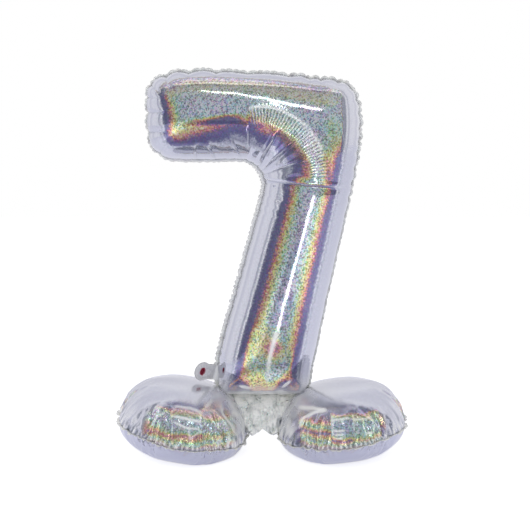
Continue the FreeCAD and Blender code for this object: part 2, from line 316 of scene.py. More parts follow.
def film_turn(tree, place, facing, spread):
    """The nodes that work out the same place, and how much the film leans up."""
    # front and back film are the same, so the slope is read as if it were always in front
    slope = add_node(tree, "SeparateXYZ", {0: place.outputs["Normal"]})
    depth_part = add_node(tree, "Math", {0: slope.outputs[1]}, operation="ABSOLUTE")
    slope = add_node(tree, "CombineXYZ", {0: slope, 1: depth_part, 2: slope.outputs[2]})
    ahead, aside, above = (add_node(tree, "VectorMath", {0: slope, 1: tuple(way)},
                                    operation="DOT_PRODUCT") for way in facing_ways(facing, spread))
    across = add_node(tree, "Math", {0: aside.outputs["Value"], 1: 2.0}, operation="POWER")
    upward = add_node(tree, "Math", {0: above.outputs["Value"], 1: 2.0}, operation="POWER")
    off = add_node(tree, "Math", {0: across, 1: upward}, operation="ADD")
    off = add_node(tree, "Math", {0: off}, operation="SQRT")
    angle = add_node(tree, "Math", {0: off, 1: ahead.outputs["Value"]}, operation="ARCTAN2")
    share = add_node(tree, "Math", {0: angle, 1: math.pi / 2}, operation="DIVIDE")
    return share, above


print("colours end %.0f degrees from the front" % EDGE_ANGLE)

# %% [markdown]
# Every cell of the grating is pressed a little askew, so neighbours show slightly different
# colours. Voronoi cells give each its own dice: one number moves its colour, one picks a hue of
# its own and one makes it flash. Slow noise lets the bands wander as they do on real film, and a
# point attribute named phase moves them where the crumpled film does.


# %% Cells of the grating
def film_cells(tree, place, share):
    """Each cell's place among the colours, and its three dice."""
    cells = add_node(tree, "TexVoronoi", {"Vector": place.outputs["Object"], "Scale": 1 / CELL})
    dice = add_node(tree, "SeparateColor", {0: cells.outputs["Color"]})
    drift = add_node(tree, "TexNoise", {"Vector": place.outputs["Object"], "Scale": 30.0, "Detail": 2.0})
    wander = add_node(tree, "MapRange", {0: drift.outputs["Fac"], 3: -0.016, 4: 0.016})
    jitter = add_node(tree, "MapRange", {0: dice, 3: -0.018, 4: 0.018})
    phase = add_node(tree, "Attribute", attribute_name="phase")
    moved = share.outputs[0]
    for shift in (jitter.outputs[0], wander.outputs[0], phase.outputs["Fac"]):
        moved = add_node(tree, "Math", {0: moved, 1: shift}, operation="ADD").outputs[0]
    return moved, dice


print("cells %.1f mm" % (CELL / MM))

# %% [markdown]
# The colours lie in the order of a rainbow: pale blue where film faces the dim wall, then green,
# yellow, orange and violet, a painted bright line, and plain silver. Film that leans back to the
# ceiling gets a second, paler copy of the colours: painted light from above. Each stop holds its
# colour, and how much the cells glitter there, which is kept in the ramp's alpha.

# %% Colours of the grating
# the stop at 0.395 is a painted bright line
BANDS = [
    (0.00, "BCCAE0", 0.9), (0.08, "BCD0DC", 0.9), (0.12, "9CD2A8", 0.9), (0.155, "98DC74", 0.9),
    (0.185, "F0E452", 0.8), (0.215, "FBB048", 0.8), (0.24, "EC6C42", 0.7), (0.262, "9C5474", 0.5),
    (0.285, "75699C", 0.3), (0.34, "7470A0", 0.2), (0.37, "9A9AB4", 0.1), (0.395, "E2E3EC", 0.1),
    (0.42, "B6B8C6", 0.15)]
SILVER_BANDS = [(0.46, 0, 0.08), (0.64, 0, 0.04)]
# the same colours paler: painted light for film that leans up
CEILING_LIT_BANDS = [
    (0.00, "CFDDF2", 0.9), (0.11, "D6E4E4", 0.9), (0.15, "DDF0C8", 0.8), (0.18, "F6EFC4", 0.7),
    (0.21, "F8DCC0", 0.7), (0.235, "DCC4D2", 0.7), (0.27, "B9B2CC", 0.6), (0.33, "B0AEC4", 0.45),
    (0.365, "A89C98", 0.2), (0.385, "A9A3A0", 0.1), (0.41, "E0E0E4", 0.05), (0.44, "C2C3CE", 0.05)]
CEILING_LIT_SILVER = [(0.48, 0, 0.05)]
LAST_GLITTER = 0.02


def band_stops(table, silver_table, silver, grating):
    """Ramp stops: colours with the glitter of a grating this deep, then silver up to the end."""
    stops = [(place, linear(code, glitter * grating)) for place, code, glitter in table]
    stops += [(place, linear(silver[tone], glitter * grating)) for place, tone, glitter in silver_table]
    return stops + [(1.0, linear(silver[1], LAST_GLITTER))]


def film_bands(tree, moved, above, grating, silver, pastel):
    """The film's colour by its place in the rainbow, and how much it glitters."""
    bands = set_ramp(add_node(tree, "ValToRGB", {0: moved}), band_stops(BANDS, SILVER_BANDS, silver, grating))
    ceiling_lit = set_ramp(add_node(tree, "ValToRGB", {0: moved}),
                      band_stops(CEILING_LIT_BANDS, CEILING_LIT_SILVER, silver, grating))
    # painted light from above: film that leans up gets the paler copy
    ceiling_lit_share = add_node(tree, "MapRange", {0: above.outputs["Value"], 1: 0.06, 2: 0.28, 4: pastel})
    colour = add_node(tree, "Mix", {"Factor": ceiling_lit_share, 6: bands.outputs["Color"], 7: ceiling_lit.outputs["Color"]},
                      data_type="RGBA")
    amount = add_node(tree, "Mix", {"Factor": ceiling_lit_share, 2: bands.outputs["Alpha"], 3: ceiling_lit.outputs["Alpha"]})
    shown = add_node(tree, "Mix", {"Factor": grating, 6: linear(silver[0]), 7: colour.outputs[2]},
                     data_type="RGBA")
    return shown, amount


print("stops", len(BANDS) + len(SILVER_BANDS) + 1, "and", len(CEILING_LIT_BANDS) + len(CEILING_LIT_SILVER) + 1)

# %% [markdown]
# Two things break the rainbow up. The grating isn't even over the roll, so its pale blue drifts
# from teal to violet over a few centimetres. And where film has been crumpled hard the grating
# is lost: a point attribute named plain is 1 there, and the film stays colourless silver.


# %% Drift and lost colours
def film_pools(tree, place, moved, shown, grating):
    """The colours with their slow drift from teal to violet."""
    pool = add_node(tree, "TexNoise", {"Vector": place.outputs["Object"], "Scale": 17.0, "Detail": 2.0})
    pool_hue = add_node(tree, "MapRange", {0: pool.outputs["Fac"], 1: 0.32, 2: 0.68, 3: 0.36, 4: 0.92})
    pool_tint = add_node(tree, "CombineColor", {0: pool_hue, 1: 0.40, 2: 0.95}, mode="HSV")
    pool_share = add_node(tree, "MapRange", {0: moved, 1: 0.08, 2: 0.18, 3: 0.5 * grating, 4: 0.0})
    return add_node(tree, "Mix", {"Factor": pool_share, 6: shown.outputs[2], 7: pool_tint}, data_type="RGBA")


def film_plain(tree, shown, amount, silver):
    """Takes colour and glitter away where the film is crumpled."""
    plain = add_node(tree, "Attribute", attribute_name="plain")
    amount = add_node(tree, "Mix", {"Factor": plain.outputs["Fac"], 2: amount, 3: 0.05})
    shown = add_node(tree, "Mix", {"Factor": plain.outputs["Fac"], 6: shown.outputs[2], 7: linear(silver[0])},
                     data_type="RGBA")
    return shown, amount


print("pools about %.0f mm" % (1000 / 17))

# %% [markdown]
# Glitter is what the eye notes first on such foil: some cells stay dark and some flash. The
# dice tint each cell and scale its brightness, a painted sparkle, and the ramp's alpha says how
# strongly.


# %% Glitter, painted light and dulling
def film_glitter(tree, dice, shown, amount):
    """Tints each cell by its dice and paints it darker or brighter, a painted sparkle."""
    hue = add_node(tree, "CombineColor", {0: dice.outputs[1], 1: 0.45, 2: 0.95}, mode="HSV")
    tint_share = add_node(tree, "Math", {0: amount, 1: 0.5}, operation="MULTIPLY")
    speckled = add_node(tree, "Mix", {"Factor": tint_share, 6: shown.outputs[2], 7: hue}, data_type="RGBA")
    flash = add_node(tree, "MapRange", {0: dice.outputs[2], 3: 0.34, 4: 1.85})
    lit = add_node(tree, "VectorMath", {0: speckled.outputs[2], "Scale": flash}, operation="SCALE")
    return add_node(tree, "Mix", {"Factor": amount, 6: speckled.outputs[2], 7: lit}, data_type="RGBA",
                    clamp_result=True)


def film_gleam(tree, skin, glitter, amount, haze):
    """Colour, metal and roughness from a point attribute: at 1 the film is painted white and dulled, for
    painted highlights and dull film, and at -1 painted dark, for painted shade.
    """
    gleam = add_node(tree, "Attribute", attribute_name="gleam")
    # painted highlights and dulled film go white and matt, painted shade goes dark slate
    drawn = add_node(tree, "MapRange", {0: gleam.outputs["Fac"], 4: 0.9})
    painted_shade = add_node(tree, "MapRange", {0: gleam.outputs["Fac"], 1: 0.0, 2: -1.0, 4: 0.8})
    colour = add_node(tree, "Mix", {"Factor": drawn, 6: glitter.outputs[2], 7: linear("FAF9F4")},
                      data_type="RGBA")
    colour = add_node(tree, "Mix", {"Factor": painted_shade, 6: colour.outputs[2], 7: linear("56616E")},
                      data_type="RGBA")
    metal = add_node(tree, "MapRange", {0: gleam.outputs["Fac"], 3: 1.0, 4: 0.15})
    dulled = add_node(tree, "MapRange", {0: amount, 3: haze[0], 4: haze[1]})
    painted_light_roughness = add_node(tree, "MapRange", {0: gleam.outputs["Fac"], 4: 0.35})
    dulled = add_node(tree, "Math", {0: dulled, 1: painted_light_roughness}, operation="ADD")
    tree.links.new(colour.outputs[2], skin.inputs["Base Color"])
    tree.links.new(metal.outputs[0], skin.inputs["Metallic"])
    tree.links.new(dulled.outputs[0], skin.inputs["Roughness"])


# %% [markdown]
# Last comes relief too fine to model. Streaks run square to every weld, where the film is
# gathered, and die out into it: they follow the piece's own film map, and a point attribute named
# crush says how strong they are. A slow swell keeps the mirror from being perfect.


# %% Fine relief of the film
def film_relief(tree, skin, place, crush):
    """Streaks along the welds over a slow swell."""
    film_map = add_node(tree, "UVMap", uv_map="film")
    stretch = add_node(tree, "Mapping", {"Vector": film_map, "Scale": (1 / STREAK, 0.12 / STREAK, 1.0)})
    streaks = add_node(tree, "TexNoise", {"Vector": stretch, "Scale": 1.0, "Detail": 2.0, "Roughness": 0.6})
    crushed = add_node(tree, "Attribute", attribute_name="crush")
    streak_height = add_node(tree, "Math", {0: streaks.outputs["Fac"], 1: crushed.outputs["Fac"]},
                             operation="MULTIPLY")
    swell = add_node(tree, "TexNoise", {"Vector": place.outputs["Object"], "Scale": 22.0, "Detail": 1.0})
    bump = add_node(tree, "Bump", {"Height": swell.outputs["Fac"], "Strength": 0.5, "Distance": 0.0012})
    bump = add_node(tree, "Bump",
                    {"Height": streak_height, "Strength": 1.0, "Distance": 0.0016 * crush, "Normal": bump})
    tree.links.new(bump.outputs[0], skin.inputs["Normal"])


def foil(name, facing, spread=(31, 43), grating=1.0, crush=1.0, haze=(0.06, 0.11),
         silver=("D0D1DC", "D4D5DE"), pastel=1.0):
    """Aluminised film whose colours open towards facing, as far as spread (degrees) to each side."""
    made, tree, skin, place = new_material(name)
    share, above = film_turn(tree, place, facing, spread)
    moved, dice = film_cells(tree, place, share)
    shown, amount = film_bands(tree, moved, above, grating, silver, pastel)
    shown = film_pools(tree, place, moved, shown, grating)
    shown, amount = film_plain(tree, shown, amount, silver)
    glitter = film_glitter(tree, dice, shown, amount)
    film_gleam(tree, skin, glitter, amount, haze)
    film_relief(tree, skin, place, crush)
    # a thin varnish protects the aluminium, so every highlight has a sharp core
    skin.inputs["Coat Weight"].default_value = 0.35
    skin.inputs["Coat Roughness"].default_value = 0.04
    return made


print("streaks %.0f mm" % (STREAK / MM))

# %% [markdown]
# One roll of film makes the whole balloon, and its five finishes differ by what was done to it.
# The number is drawn tight and shows the full rainbow. The feet are softer, so their mirror is
# hazier and their colours paler. Their undersides and the tail carry next to no grating. The
# waist is crushed to a fine-grained silver, and the welds are film melted flat and rippled,
# which dulls it to a milky white.

# %% The finishes of the film
NUMBER_FACING, NUMBER_SPREAD = (2.5, 9), (31, 43)
FOOT_FACING, FOOT_SPREAD = (3, 20), (70, 42)
# drawn tight: a clear mirror in full colour
number_foil = foil("holographic_aluminised_nylon_number", NUMBER_FACING, NUMBER_SPREAD)
# softly filled: a hazier mirror with paler colours
foot_foil = foil("holographic_aluminised_nylon_feet", FOOT_FACING, FOOT_SPREAD, grating=0.8, crush=1.3,
                 haze=(0.13, 0.14), pastel=0.35)
# the side without grating: an even lavender silver
foot_sole_foil = foil("plain_aluminised_nylon_feet", FOOT_FACING, grating=0.06, silver=("CCCDDC", "CCCDDC"))
# crushed in the hand: greenish silver without a clear mirror
waist_foil = foil("crushed_aluminised_nylon_waist", (0, 20), grating=0.2, crush=0.9, haze=(0.22, 0.26),
                  silver=("DDE6DE", "E0E6E0"))
# melted flat: milky and finely rippled
seal_foil = foil("heat_sealed_aluminised_nylon_edge", NUMBER_FACING, grating=0.15, crush=2.0,
                 haze=(0.2, 0.25), silver=("EEEEE8", "EEEEEA"))
print("foils", [m.name for m in bpy.data.materials])


# %% [markdown]
# ## The number's film
# The chamber is two flat sheets welded round their edge and blown up, which is why the edge is
# gathered: a flat sheet can't follow a round tube without folding. A pressure simulation fine
# enough for such folds would take minutes, so they are shaped directly here, and the simulation
# is kept for the feet. The first step is a smooth curve through the stations. A natural cubic
# spline bends as little as it can between its knots, which is just what drawn film does.


# %% Curves through stations
COLUMN_GAP, BEND_COLUMN_GAP = 2.1, 0.95    # mm between columns, and how much closer they lie at the bend


def smooth_through(knots, values, at):
    """A natural cubic spline through rows of values."""
    gaps = np.diff(knots)
    slopes = np.diff(values, axis=0) / gaps[:, None]
    system = np.eye(len(knots))
    right = np.zeros_like(values)
    for i in range(1, len(knots) - 1):
        system[i, i - 1:i + 2] = gaps[i - 1], 2 * (gaps[i - 1] + gaps[i]), gaps[i]
        right[i] = 6 * (slopes[i] - slopes[i - 1])
    bends = np.linalg.solve(system, right)
    i = np.clip(np.searchsorted(knots, at) - 1, 0, len(knots) - 2)
    s, gap = (at - knots[i])[:, None], gaps[i][:, None]
    return (values[i] + s * (slopes[i] - gap * (2 * bends[i] + bends[i + 1]) / 6)
            + s ** 2 * bends[i] / 2 + s ** 3 * (bends[i + 1] - bends[i]) / (6 * gap))


def running_length(points):
    """How far each point lies along the line through them all."""
    return np.r_[0, np.cumsum(np.linalg.norm(np.diff(points, axis=0), axis=1))]


def tube_lines():
    """The outer line, inner line and half depth of the tube at close columns along it, in mm."""
    rows = stations()
    middle = (rows[:, 0:2] + rows[:, 2:4]) / 2
    steps = np.hypot(np.linalg.norm(np.diff(middle, axis=0), axis=1), np.diff(rows[:, 4]))
    knots = np.r_[0, np.cumsum(steps)]
    bend_start, bend_end = knots[len(BAR) - 1], knots[len(BAR) + len(CORNER) - 1]
    fine = np.linspace(0, knots[-1], 4000)
    off_bend = np.abs(fine - (bend_start + bend_end) / 2) / (bend_end - bend_start)
    bend_share = np.clip(1 - off_bend * 1.6, 0, 1)
    density = 1 / (COLUMN_GAP - BEND_COLUMN_GAP * bend_share ** 0.5)
    count = np.r_[0, np.cumsum((density[1:] + density[:-1]) / 2 * np.diff(fine))]
    at = np.interp(np.linspace(0, count[-1], int(count[-1])), count, fine)
    lines = smooth_through(knots, rows, at)
    lines[:, 4] = np.clip(lines[:, 4], 0, None)
    lines[[0, -1], 4] = 0
    return lines[:, 0:2], lines[:, 2:4], lines[:, 4]


outer, inner, depth = tube_lines()
ROWS = 104
spread_rows = np.linspace(0, 1, ROWS)
turn_rows = math.pi * (spread_rows - 0.30 * np.sin(2 * math.pi * spread_rows) / (2 * math.pi))
print("columns", len(depth), "rows", ROWS)


# %% [markdown]
# The folds need to know where each point of film is: how far along the sealed edge, and how far
# in from it. Both come from the nearest point of the edge, seen from the front. A search tree
# finds it at once among the edge's thousands of points.


# %% The sealed edge as one closed line
class Edge:
    """A closed line in the plane of a seam, with its running length and outward directions, in mm."""

    def __init__(self, points, step=1.0):
        loop = np.vstack([points, points[:1]])
        run = running_length(loop)
        self.length, self.step = run[-1], step
        self.run = np.arange(0, self.length, step)
        self.points = np.c_[np.interp(self.run, run, loop[:, 0]), np.interp(self.run, run, loop[:, 1])]
        ahead = np.roll(self.points, -5, axis=0) - np.roll(self.points, 5, axis=0)
        ahead /= np.linalg.norm(ahead, axis=1)[:, None]
        self.ahead, self.out = ahead, np.c_[-ahead[:, 1], ahead[:, 0]]
        if np.sum(self.out * (self.points - self.points.mean(0))) < 0:
            self.out *= -1
        self.tree = kdtree.KDTree(len(self.points))
        for i, p in enumerate(self.points):
            self.tree.insert((p[0], p[1], 0), i)
        self.tree.balance()

    def nearest(self, points):
        """For each point: the running length of the nearest edge point, its index and the distance."""
        index = np.array([self.tree.find((x, z, 0))[1] for x, z in points])
        gap = points - self.points[index]
        along = np.clip((gap * self.ahead[index]).sum(1), -self.step / 2, self.step / 2)
        off = np.sqrt(np.clip((gap ** 2).sum(1) - along ** 2, 0, None))
        return self.run[index] + along, index, off


def closing(start, end, count):
    """Points across the open end of the tube, without its two corners."""
    return start + (end - start) * np.linspace(1, 0, count)[1:-1, None]


number_edge = Edge(np.vstack([outer, closing(inner[-1], outer[-1], 60), inner[::-1],
                              closing(outer[0], inner[0], 30)]))
print("sealed edge of the number: %.0f mm" % number_edge.length)

# %% [markdown]
# Gathered film stands in puffs between creases, and their size depends on how tightly the edge
# turns: big, deep puffs on the round end of the bar, hardly any along the straight stem, and
# narrow ones round the inner bend. Two sizes of puff lie over each other, as on the real edge. A
# noise texture would give an even ripple, so the creases are laid one by one at uneven gaps.


# %% Creases along a sealed edge
def lay_creases(edge, pitch_at, seed):
    """Places creases round the edge; pitch_at(x, z) gives the usual gap there in mm."""
    dice = np.random.default_rng(seed)
    places = [0.0]
    while places[-1] < edge.length:
        i = int(places[-1]) % len(edge.points)
        places.append(places[-1] + pitch_at(*edge.points[i]) * dice.uniform(0.65, 1.35))
    places = np.array(places)
    return places * edge.length / places[-1]


def puffs(places, run):
    """The shape of the film between creases: 0 in a crease and 1 in mid-gap, and the gap, in mm."""
    i = np.clip(np.searchsorted(places, run, side="right") - 1, 0, len(places) - 2)
    gap = places[i + 1] - places[i]
    return np.sin(math.pi * np.clip((run - places[i]) / gap, 0, 1)) ** 0.6, gap


def region(x, z, table, usual):
    """The first entry of a table of (x low, x high, z low, z high, value) that holds the point."""
    for low_x, high_x, low_z, high_z, value in table:
        if low_x <= x <= high_x and low_z <= z <= high_z:
            return value
    return usual


def blur(values, width):
    """A running mean round a closed line."""
    wide = np.r_[values[-width:], values, values[:width]]
    return np.convolve(wide, np.ones(2 * width + 1) / (2 * width + 1), "valid")


EASE = 12    # mm of edge over which one region's puffs grow into the next


def edge_folds(edge, table, usual, seed):
    """Per mm of edge: the crease places, and the blurred height and reach of the puffs."""
    rows = np.array([region(x, z, table, usual) for x, z in edge.points], float)
    places = lay_creases(edge, lambda x, z: region(x, z, table, usual)[0], seed)
    return places, blur(rows[:, 1], EASE), blur(rows[:, 2], EASE)


def edge_lift(folds, run, index, into):
    """How far the puffs of one size lift the film, at a distance into it from the edge, in mm."""
    places, height, reach = folds
    shape, gap = puffs(places, run)
    gap_share = np.clip(gap / np.maximum(reach[index], 8), 0.5, 1.2)
    return height[index] * gap_share * (shape - 0.55) * np.exp(-(into / reach[index]) ** 2)


# %% Puffs of the number
# gap, height and reach of the puffs in mm, by place on the number: x from, x to, z from, z to
BIG_PUFFS = [
    (-215, -186, 640, 700, (32, 8.0, 60)), (-215, -186, 560, 640, (42, 8.5, 64)),
    (-188, -150, 690, 720, (40, 7.5, 42)), (-190, -120, 545, 575, (32, 1.8, 30)),
    (-150, -60, 690, 720, (76, 5.0, 24)), (-120, -60, 545, 560, (34, 0.9, 24)),
    (-60, 12, 455, 560, (17, 2.4, 88)), (-60, 60, 690, 720, (58, 2.6, 18)),
    (60, 185, 640, 720, (25, 4.6, 34)), (150, 190, 470, 640, (26, 2.8, 24)),
    (-90, -60, 104, 190, (18, 3.0, 26)), (-60, -30, 190, 350, (30, 1.6, 18)),
    (60, 100, 104, 150, (18, 3.0, 26)), (-82, 80, 100, 112, (24, 3.4, 26))]
SMALL_PUFFS = [
    (-215, -180, 560, 705, (11, 1.8, 11)), (-180, 0, 545, 575, (12, 0.2, 11)),
    (-180, 40, 690, 720, (14, 0.7, 7)), (40, 190, 480, 720, (13, 1.8, 10)),
    (-70, 15, 440, 560, (9, 0.35, 18)), (-95, -20, 104, 330, (9, 1.1, 8)),
    (-80, 100, 100, 150, (9, 1.4, 12))]
USUAL_BIG, USUAL_SMALL = (70, 0.9, 18), (13, 0.35, 7)
number_big = edge_folds(number_edge, BIG_PUFFS, USUAL_BIG, 11)
number_small = edge_folds(number_edge, SMALL_PUFFS, USUAL_SMALL, 12)
print("puffs", len(number_big[0]), "and", len(number_small[0]))

# %% [markdown]
# Long folds are straight valleys between two points of the front view. Each is a sharp line
# with one lip raised, the way film breaks when it is bent the short way. Each fold also gets a
# thin painted highlight on its lip and a thin painted shade in its valley, for the material.


# %% Long folds
def long_fold(x, z, start, end, deep, lip=0.0, width=3.0):
    """One long fold: its height in mm, negative in the valley, and its painted highlight and shade."""
    start, end = np.array(start, float), np.array(end, float)
    along = (end - start) / np.linalg.norm(end - start)
    dx, dz = x - start[0], z - start[1]
    place = (dx * along[0] + dz * along[1]) / np.linalg.norm(end - start)
    off = dz * along[0] - dx * along[1]
    fade = np.clip(1.15 - np.abs(place - 0.4) / 0.62, 0, 1) ** 0.7
    height = -deep * np.exp(-np.abs(off) / width) + lip * off / width * np.exp(-(off / (2.2 * width)) ** 2)
    # painted highlight on the lip and painted shade in the valley
    line = 0.45 * np.exp(-((off - 2.6) / 1.4) ** 2) - 0.55 * np.exp(-(off / 1.4) ** 2)
    return fade * height, fade * line * min(deep / 2, 1)


# start and end, then the depth of the valley and the height of its lip, in mm
BEND_FANS = [
    ((2, 554), (27, 603), 3.4, 1.4), ((11, 544), (57, 587), 3.2, 1.2), ((16, 532), (76, 555), 3.2, 1.2),
    ((20, 516), (142, 504), 3.4, 1.8), ((-22, 579), (-23, 618), 1.5, 0.5),
    ((-42, 570), (-56, 602), 1.5, 0.5), ((-85, 556), (-97, 590), 1.2, 0.5),
    ((-120, 556), (-118, 585), 1.0, 0.4)]
BAR_PITCH = 5.5
SHORT_BARS = [((28, 505 - BAR_PITCH * i), (44 - 2 * i, 504 - BAR_PITCH * i), 0.4, 0.1) for i in range(5)]
print("folds", len(BEND_FANS) + len(SHORT_BARS))

# %% [markdown]
# Round the bend the outer film is long enough but the inner film is not, so the middle is pushed
# together into a row of fine ridges like a drawn curtain. They stand square to a line round the
# bend, about 5 mm apart, with painted highlights on their crests, painted shade between them and
# a painted bright rim along their outer side.


# %% Gathered ridges
RIDGE_LINE = np.array([
    (-24, 634), (2, 637), (25, 633), (48, 622), (70, 605), (88, 581), (99, 556), (103, 529),
    (101, 513)], float)
RIDGE_PITCH, RIDGE_REACH, RIM_OFF = 5.4, 17, 15.5


def beside(x, z, line, count=200):
    """Distance from a line, running length of the nearest place on it, the line's length and that place."""
    fine = smooth_through(np.arange(len(line), dtype=float), line, np.linspace(0, len(line) - 1, count))
    run = running_length(fine)
    gap = np.hypot(x[:, None] - fine[None, :, 0], z[:, None] - fine[None, :, 1])
    nearest = gap.argmin(1)
    return gap[np.arange(len(x)), nearest], run[nearest], run[-1], fine[nearest]


def from_bend(x, z):
    """Distance from the middle of the inner bend, in mm."""
    return np.hypot(x - BEND_X, z - BEND_Z)


def gathered_ridges(x, z):
    """Fine ridges square to a line round the bend: their height, how far they cover the film, and painted
    light.
    """
    off, here, whole, foot = beside(x, z, RIDGE_LINE, 300)
    outward = np.where(from_bend(x, z) > from_bend(foot[:, 0], foot[:, 1]), off, -off)
    ends = np.clip(np.minimum(here, whole - here) / 14, 0, 1)
    cover = np.exp(-(off / RIDGE_REACH) ** 4) * ends
    wave = np.abs(np.sin(math.pi * (here + 1.2 * np.sin(off / 5)) / RIDGE_PITCH))
    # painted highlights on the crests and painted shade between them
    gleam = 0.75 * cover * (1 - wave) ** 1.3 - 0.30 * cover * wave ** 3
    # a painted bright rim along the outer side of the ridges
    rim = np.exp(-((outward - RIM_OFF) / 2.4) ** 2) * ends * np.clip((whole - 45 - here) / 20, 0, 1)
    return 1.2 * cover * wave, cover, gleam + 0.9 * rim


print("ridges %.1f mm apart" % RIDGE_PITCH)

# %% [markdown]
# Film this thin needs no thickness of its own, so each sheet is one skin of quads. One helper
# fills a mesh, one lays quads over a grid, and one paints a number on every point for the
# material to read.


# %% Mesh helpers
def paint(piece, **amounts):
    """Keeps one number per point on the piece, for its material to read."""
    for name, values in amounts.items():
        layer = piece.data.attributes.get(name) or piece.data.attributes.new(name, "FLOAT", "POINT")
        layer.data.foreach_set("value", np.asarray(values, np.float32))


def mesh_object(name, points, faces, film_uv=None, crush=None):
    """A mesh piece from points in mm, shaded smooth, with its film map and crush amounts."""
    mesh = bpy.data.meshes.new(name)
    corners = faces if isinstance(faces, list) else np.asarray(faces).tolist()
    mesh.from_pydata((np.asarray(points) * MM).tolist(), [], corners)
    mesh.update()
    piece = bpy.data.objects.new(name, mesh)
    bpy.context.scene.collection.objects.link(piece)
    mesh.polygons.foreach_set("use_smooth", [True] * len(mesh.polygons))
    if film_uv is not None:
        layer = mesh.uv_layers.new(name="film")
        corner = np.zeros(len(mesh.loops), int)
        mesh.loops.foreach_get("vertex_index", corner)
        layer.data.foreach_set("uv", (np.asarray(film_uv)[corner] * MM).astype(np.float32).ravel())
    if crush is not None:
        paint(piece, crush=crush)
    return piece


def grid_faces(columns, rows, flip):
    """Quads of a grid laid out column by column."""
    i, j = np.meshgrid(np.arange(columns - 1), np.arange(rows - 1), indexing="ij")
    a = (i * rows + j).ravel()
    quads = np.c_[a, a + 1, a + rows + 1, a + rows]
    return quads[:, ::-1] if flip else quads


def slopes_of(piece):
    """The outward direction of the film at every point of a piece."""
    piece.data.update()
    slopes = np.zeros(3 * len(piece.data.vertices), np.float32)
    piece.data.vertices.foreach_get("normal", slopes)
    return slopes.reshape(-1, 3).astype(float)


def eased(value, low, high):
    """0 at low and 1 at high, with soft ends."""
    share = np.clip((value - low) / (high - low), 0, 1)
    return share * share * (3 - 2 * share)


# %% [markdown]
# ## Where the number's colours lie
# The rainbow follows the film's slope, and slope alone would put it in even stripes. Real film
# isn't quite a tube: along the bar and round the bend its bands drift, because the film is
# pulled flat there. So orange is tied to a line of its own below the bar and round the bend, and
# to another along the top. Two thin threads of the same colours run beside the highlights.


# %% Lines of colour
ORANGE = 0.24    # where orange stands among the film's colours
ORANGE_LINE = np.array([
    (-171, 597), (-137, 606), (-101, 615), (-59, 626), (-29, 628), (-9, 620), (13, 611), (38, 599),
    (59, 579), (74, 559), (80, 534), (74, 506)], float)
TOP_LINE = np.array([
    (-176, 684), (-152, 692), (-109, 697), (-37, 695), (34, 688), (88, 676), (138, 660)], float)
STRIPE_THREAD = np.array([(-45, 687), (-9, 681), (60, 668), (100, 660), (132, 654)], float)
BAR_THREAD = np.array([(-148, 622), (-127, 625), (-98, 627), (-64, 631), (-31, 633)], float)


def orange_shift(x, z, natural, line, edge_inside, soft):
    """Moves orange onto a line: silver is reached on the edge's side of it, yellow on the other."""
    gap, here, whole, foot = beside(x, z, line)
    nearer = from_bend(x, z) < from_bend(foot[:, 0], foot[:, 1])
    ends = np.clip(np.minimum(here, whole - here) / 25, 0, 1)
    rising = ORANGE + 0.0055 * gap
    edge_side = rising + np.maximum(natural - rising, 0) * eased(gap, soft[0], soft[1]) - natural
    far_side = (ORANGE - 0.006 * gap - natural) * np.exp(-(gap / 17) ** 2)
    return np.where(nearer == edge_inside, edge_side * (1 - eased(gap, 50, 62)), far_side) * ends


def thread_shift(x, z, natural, line, upward):
    """A thin thread of the same colours along a line, with violet on its upper side when upward is 1."""
    gap, here, whole, foot = beside(x, z, line)
    signed = np.where(z > foot[:, 1], gap, -gap) * upward
    ends = np.clip(np.minimum(here, whole - here) / 30, 0, 1)
    return (ORANGE + 0.008 * signed - natural) * 0.85 * np.exp(-(gap / 8) ** 4) * ends


# %% [markdown]
# At the foot of the stem the tube closes and the film dips every way at once, so the bands break
# up into soft patches of colour. Two glints of the lamps are painted on its lower corners, and a
# painted tail of the stem's highlight runs out between them. Each patch, glint and streak is a
# soft spot of its own.


# %% Patches and painted glints at the foot of the stem
# x, z and radius in mm, then the place among the colours
LOW_PATCHES = [
    (2, 206, 46, 0.20), (26, 240, 12, 0.15), (22, 208, 17, 0.255), (44, 188, 18, 0.19),
    (4, 176, 26, 0.15), (36, 172, 14, 0.13), (-36, 160, 16, 0.27), (2, 140, 34, 0.22),
    (18, 158, 14, 0.15), (52, 156, 12, 0.28), (0, 116, 22, 0.30), (-48, 128, 24, 0.37),
    (58, 130, 22, 0.37), (-62, 150, 14, 0.36)]
# the painted tail of the stem's highlight, a bent line in mm
LOW_PAINTED_STREAK = np.array([(27, 238), (18, 206), (12, 172), (9, 140)], float)
# painted glints of the lamps: x, z, half length, half width in mm and lean in radians
LOW_PAINTED_GLINTS = [(-31, 133, 11, 3.2, -0.25), (47, 140, 11, 3.4, 0.75)]
# a bent line along the fanned folds where shade is painted, in mm
FOLD_SHADE = np.array([(36, 599), (55, 584), (70, 562)], float)


def low_patches(x, z, natural):
    """The places of the colours with the patches laid over them."""
    wanted = natural
    for cx, cz, radius, place in LOW_PATCHES:
        share = np.exp(-(((x - cx) ** 2 + (z - cz) ** 2) / radius ** 2) ** 2)
        wanted = wanted + (place - wanted) * share
    return wanted


def low_painted_glints(x, z):
    """Painted highlight of the streak and the two glints."""
    reach, here, whole, _ = beside(x, z, LOW_PAINTED_STREAK)
    down = here / whole
    gleam = 1.3 * np.exp(-(reach / (4.8 - 2.8 * down)) ** 2) * (1 - down) ** 0.3
    for cx, cz, long, short, lean in LOW_PAINTED_GLINTS:
        u = (x - cx) * math.cos(lean) + (z - cz) * math.sin(lean)
        v = (z - cz) * math.cos(lean) - (x - cx) * math.sin(lean)
        gleam += 1.1 * np.exp(-((u / long) ** 2 + (v / short) ** 2) ** 2)
    return gleam


print("patches", len(LOW_PATCHES), "glints", len(LOW_PAINTED_GLINTS))

# %% [markdown]
# Now the colours and the painted light of a whole sheet are put together: painted highlights and
# glints, and painted shade that darkens the creases.


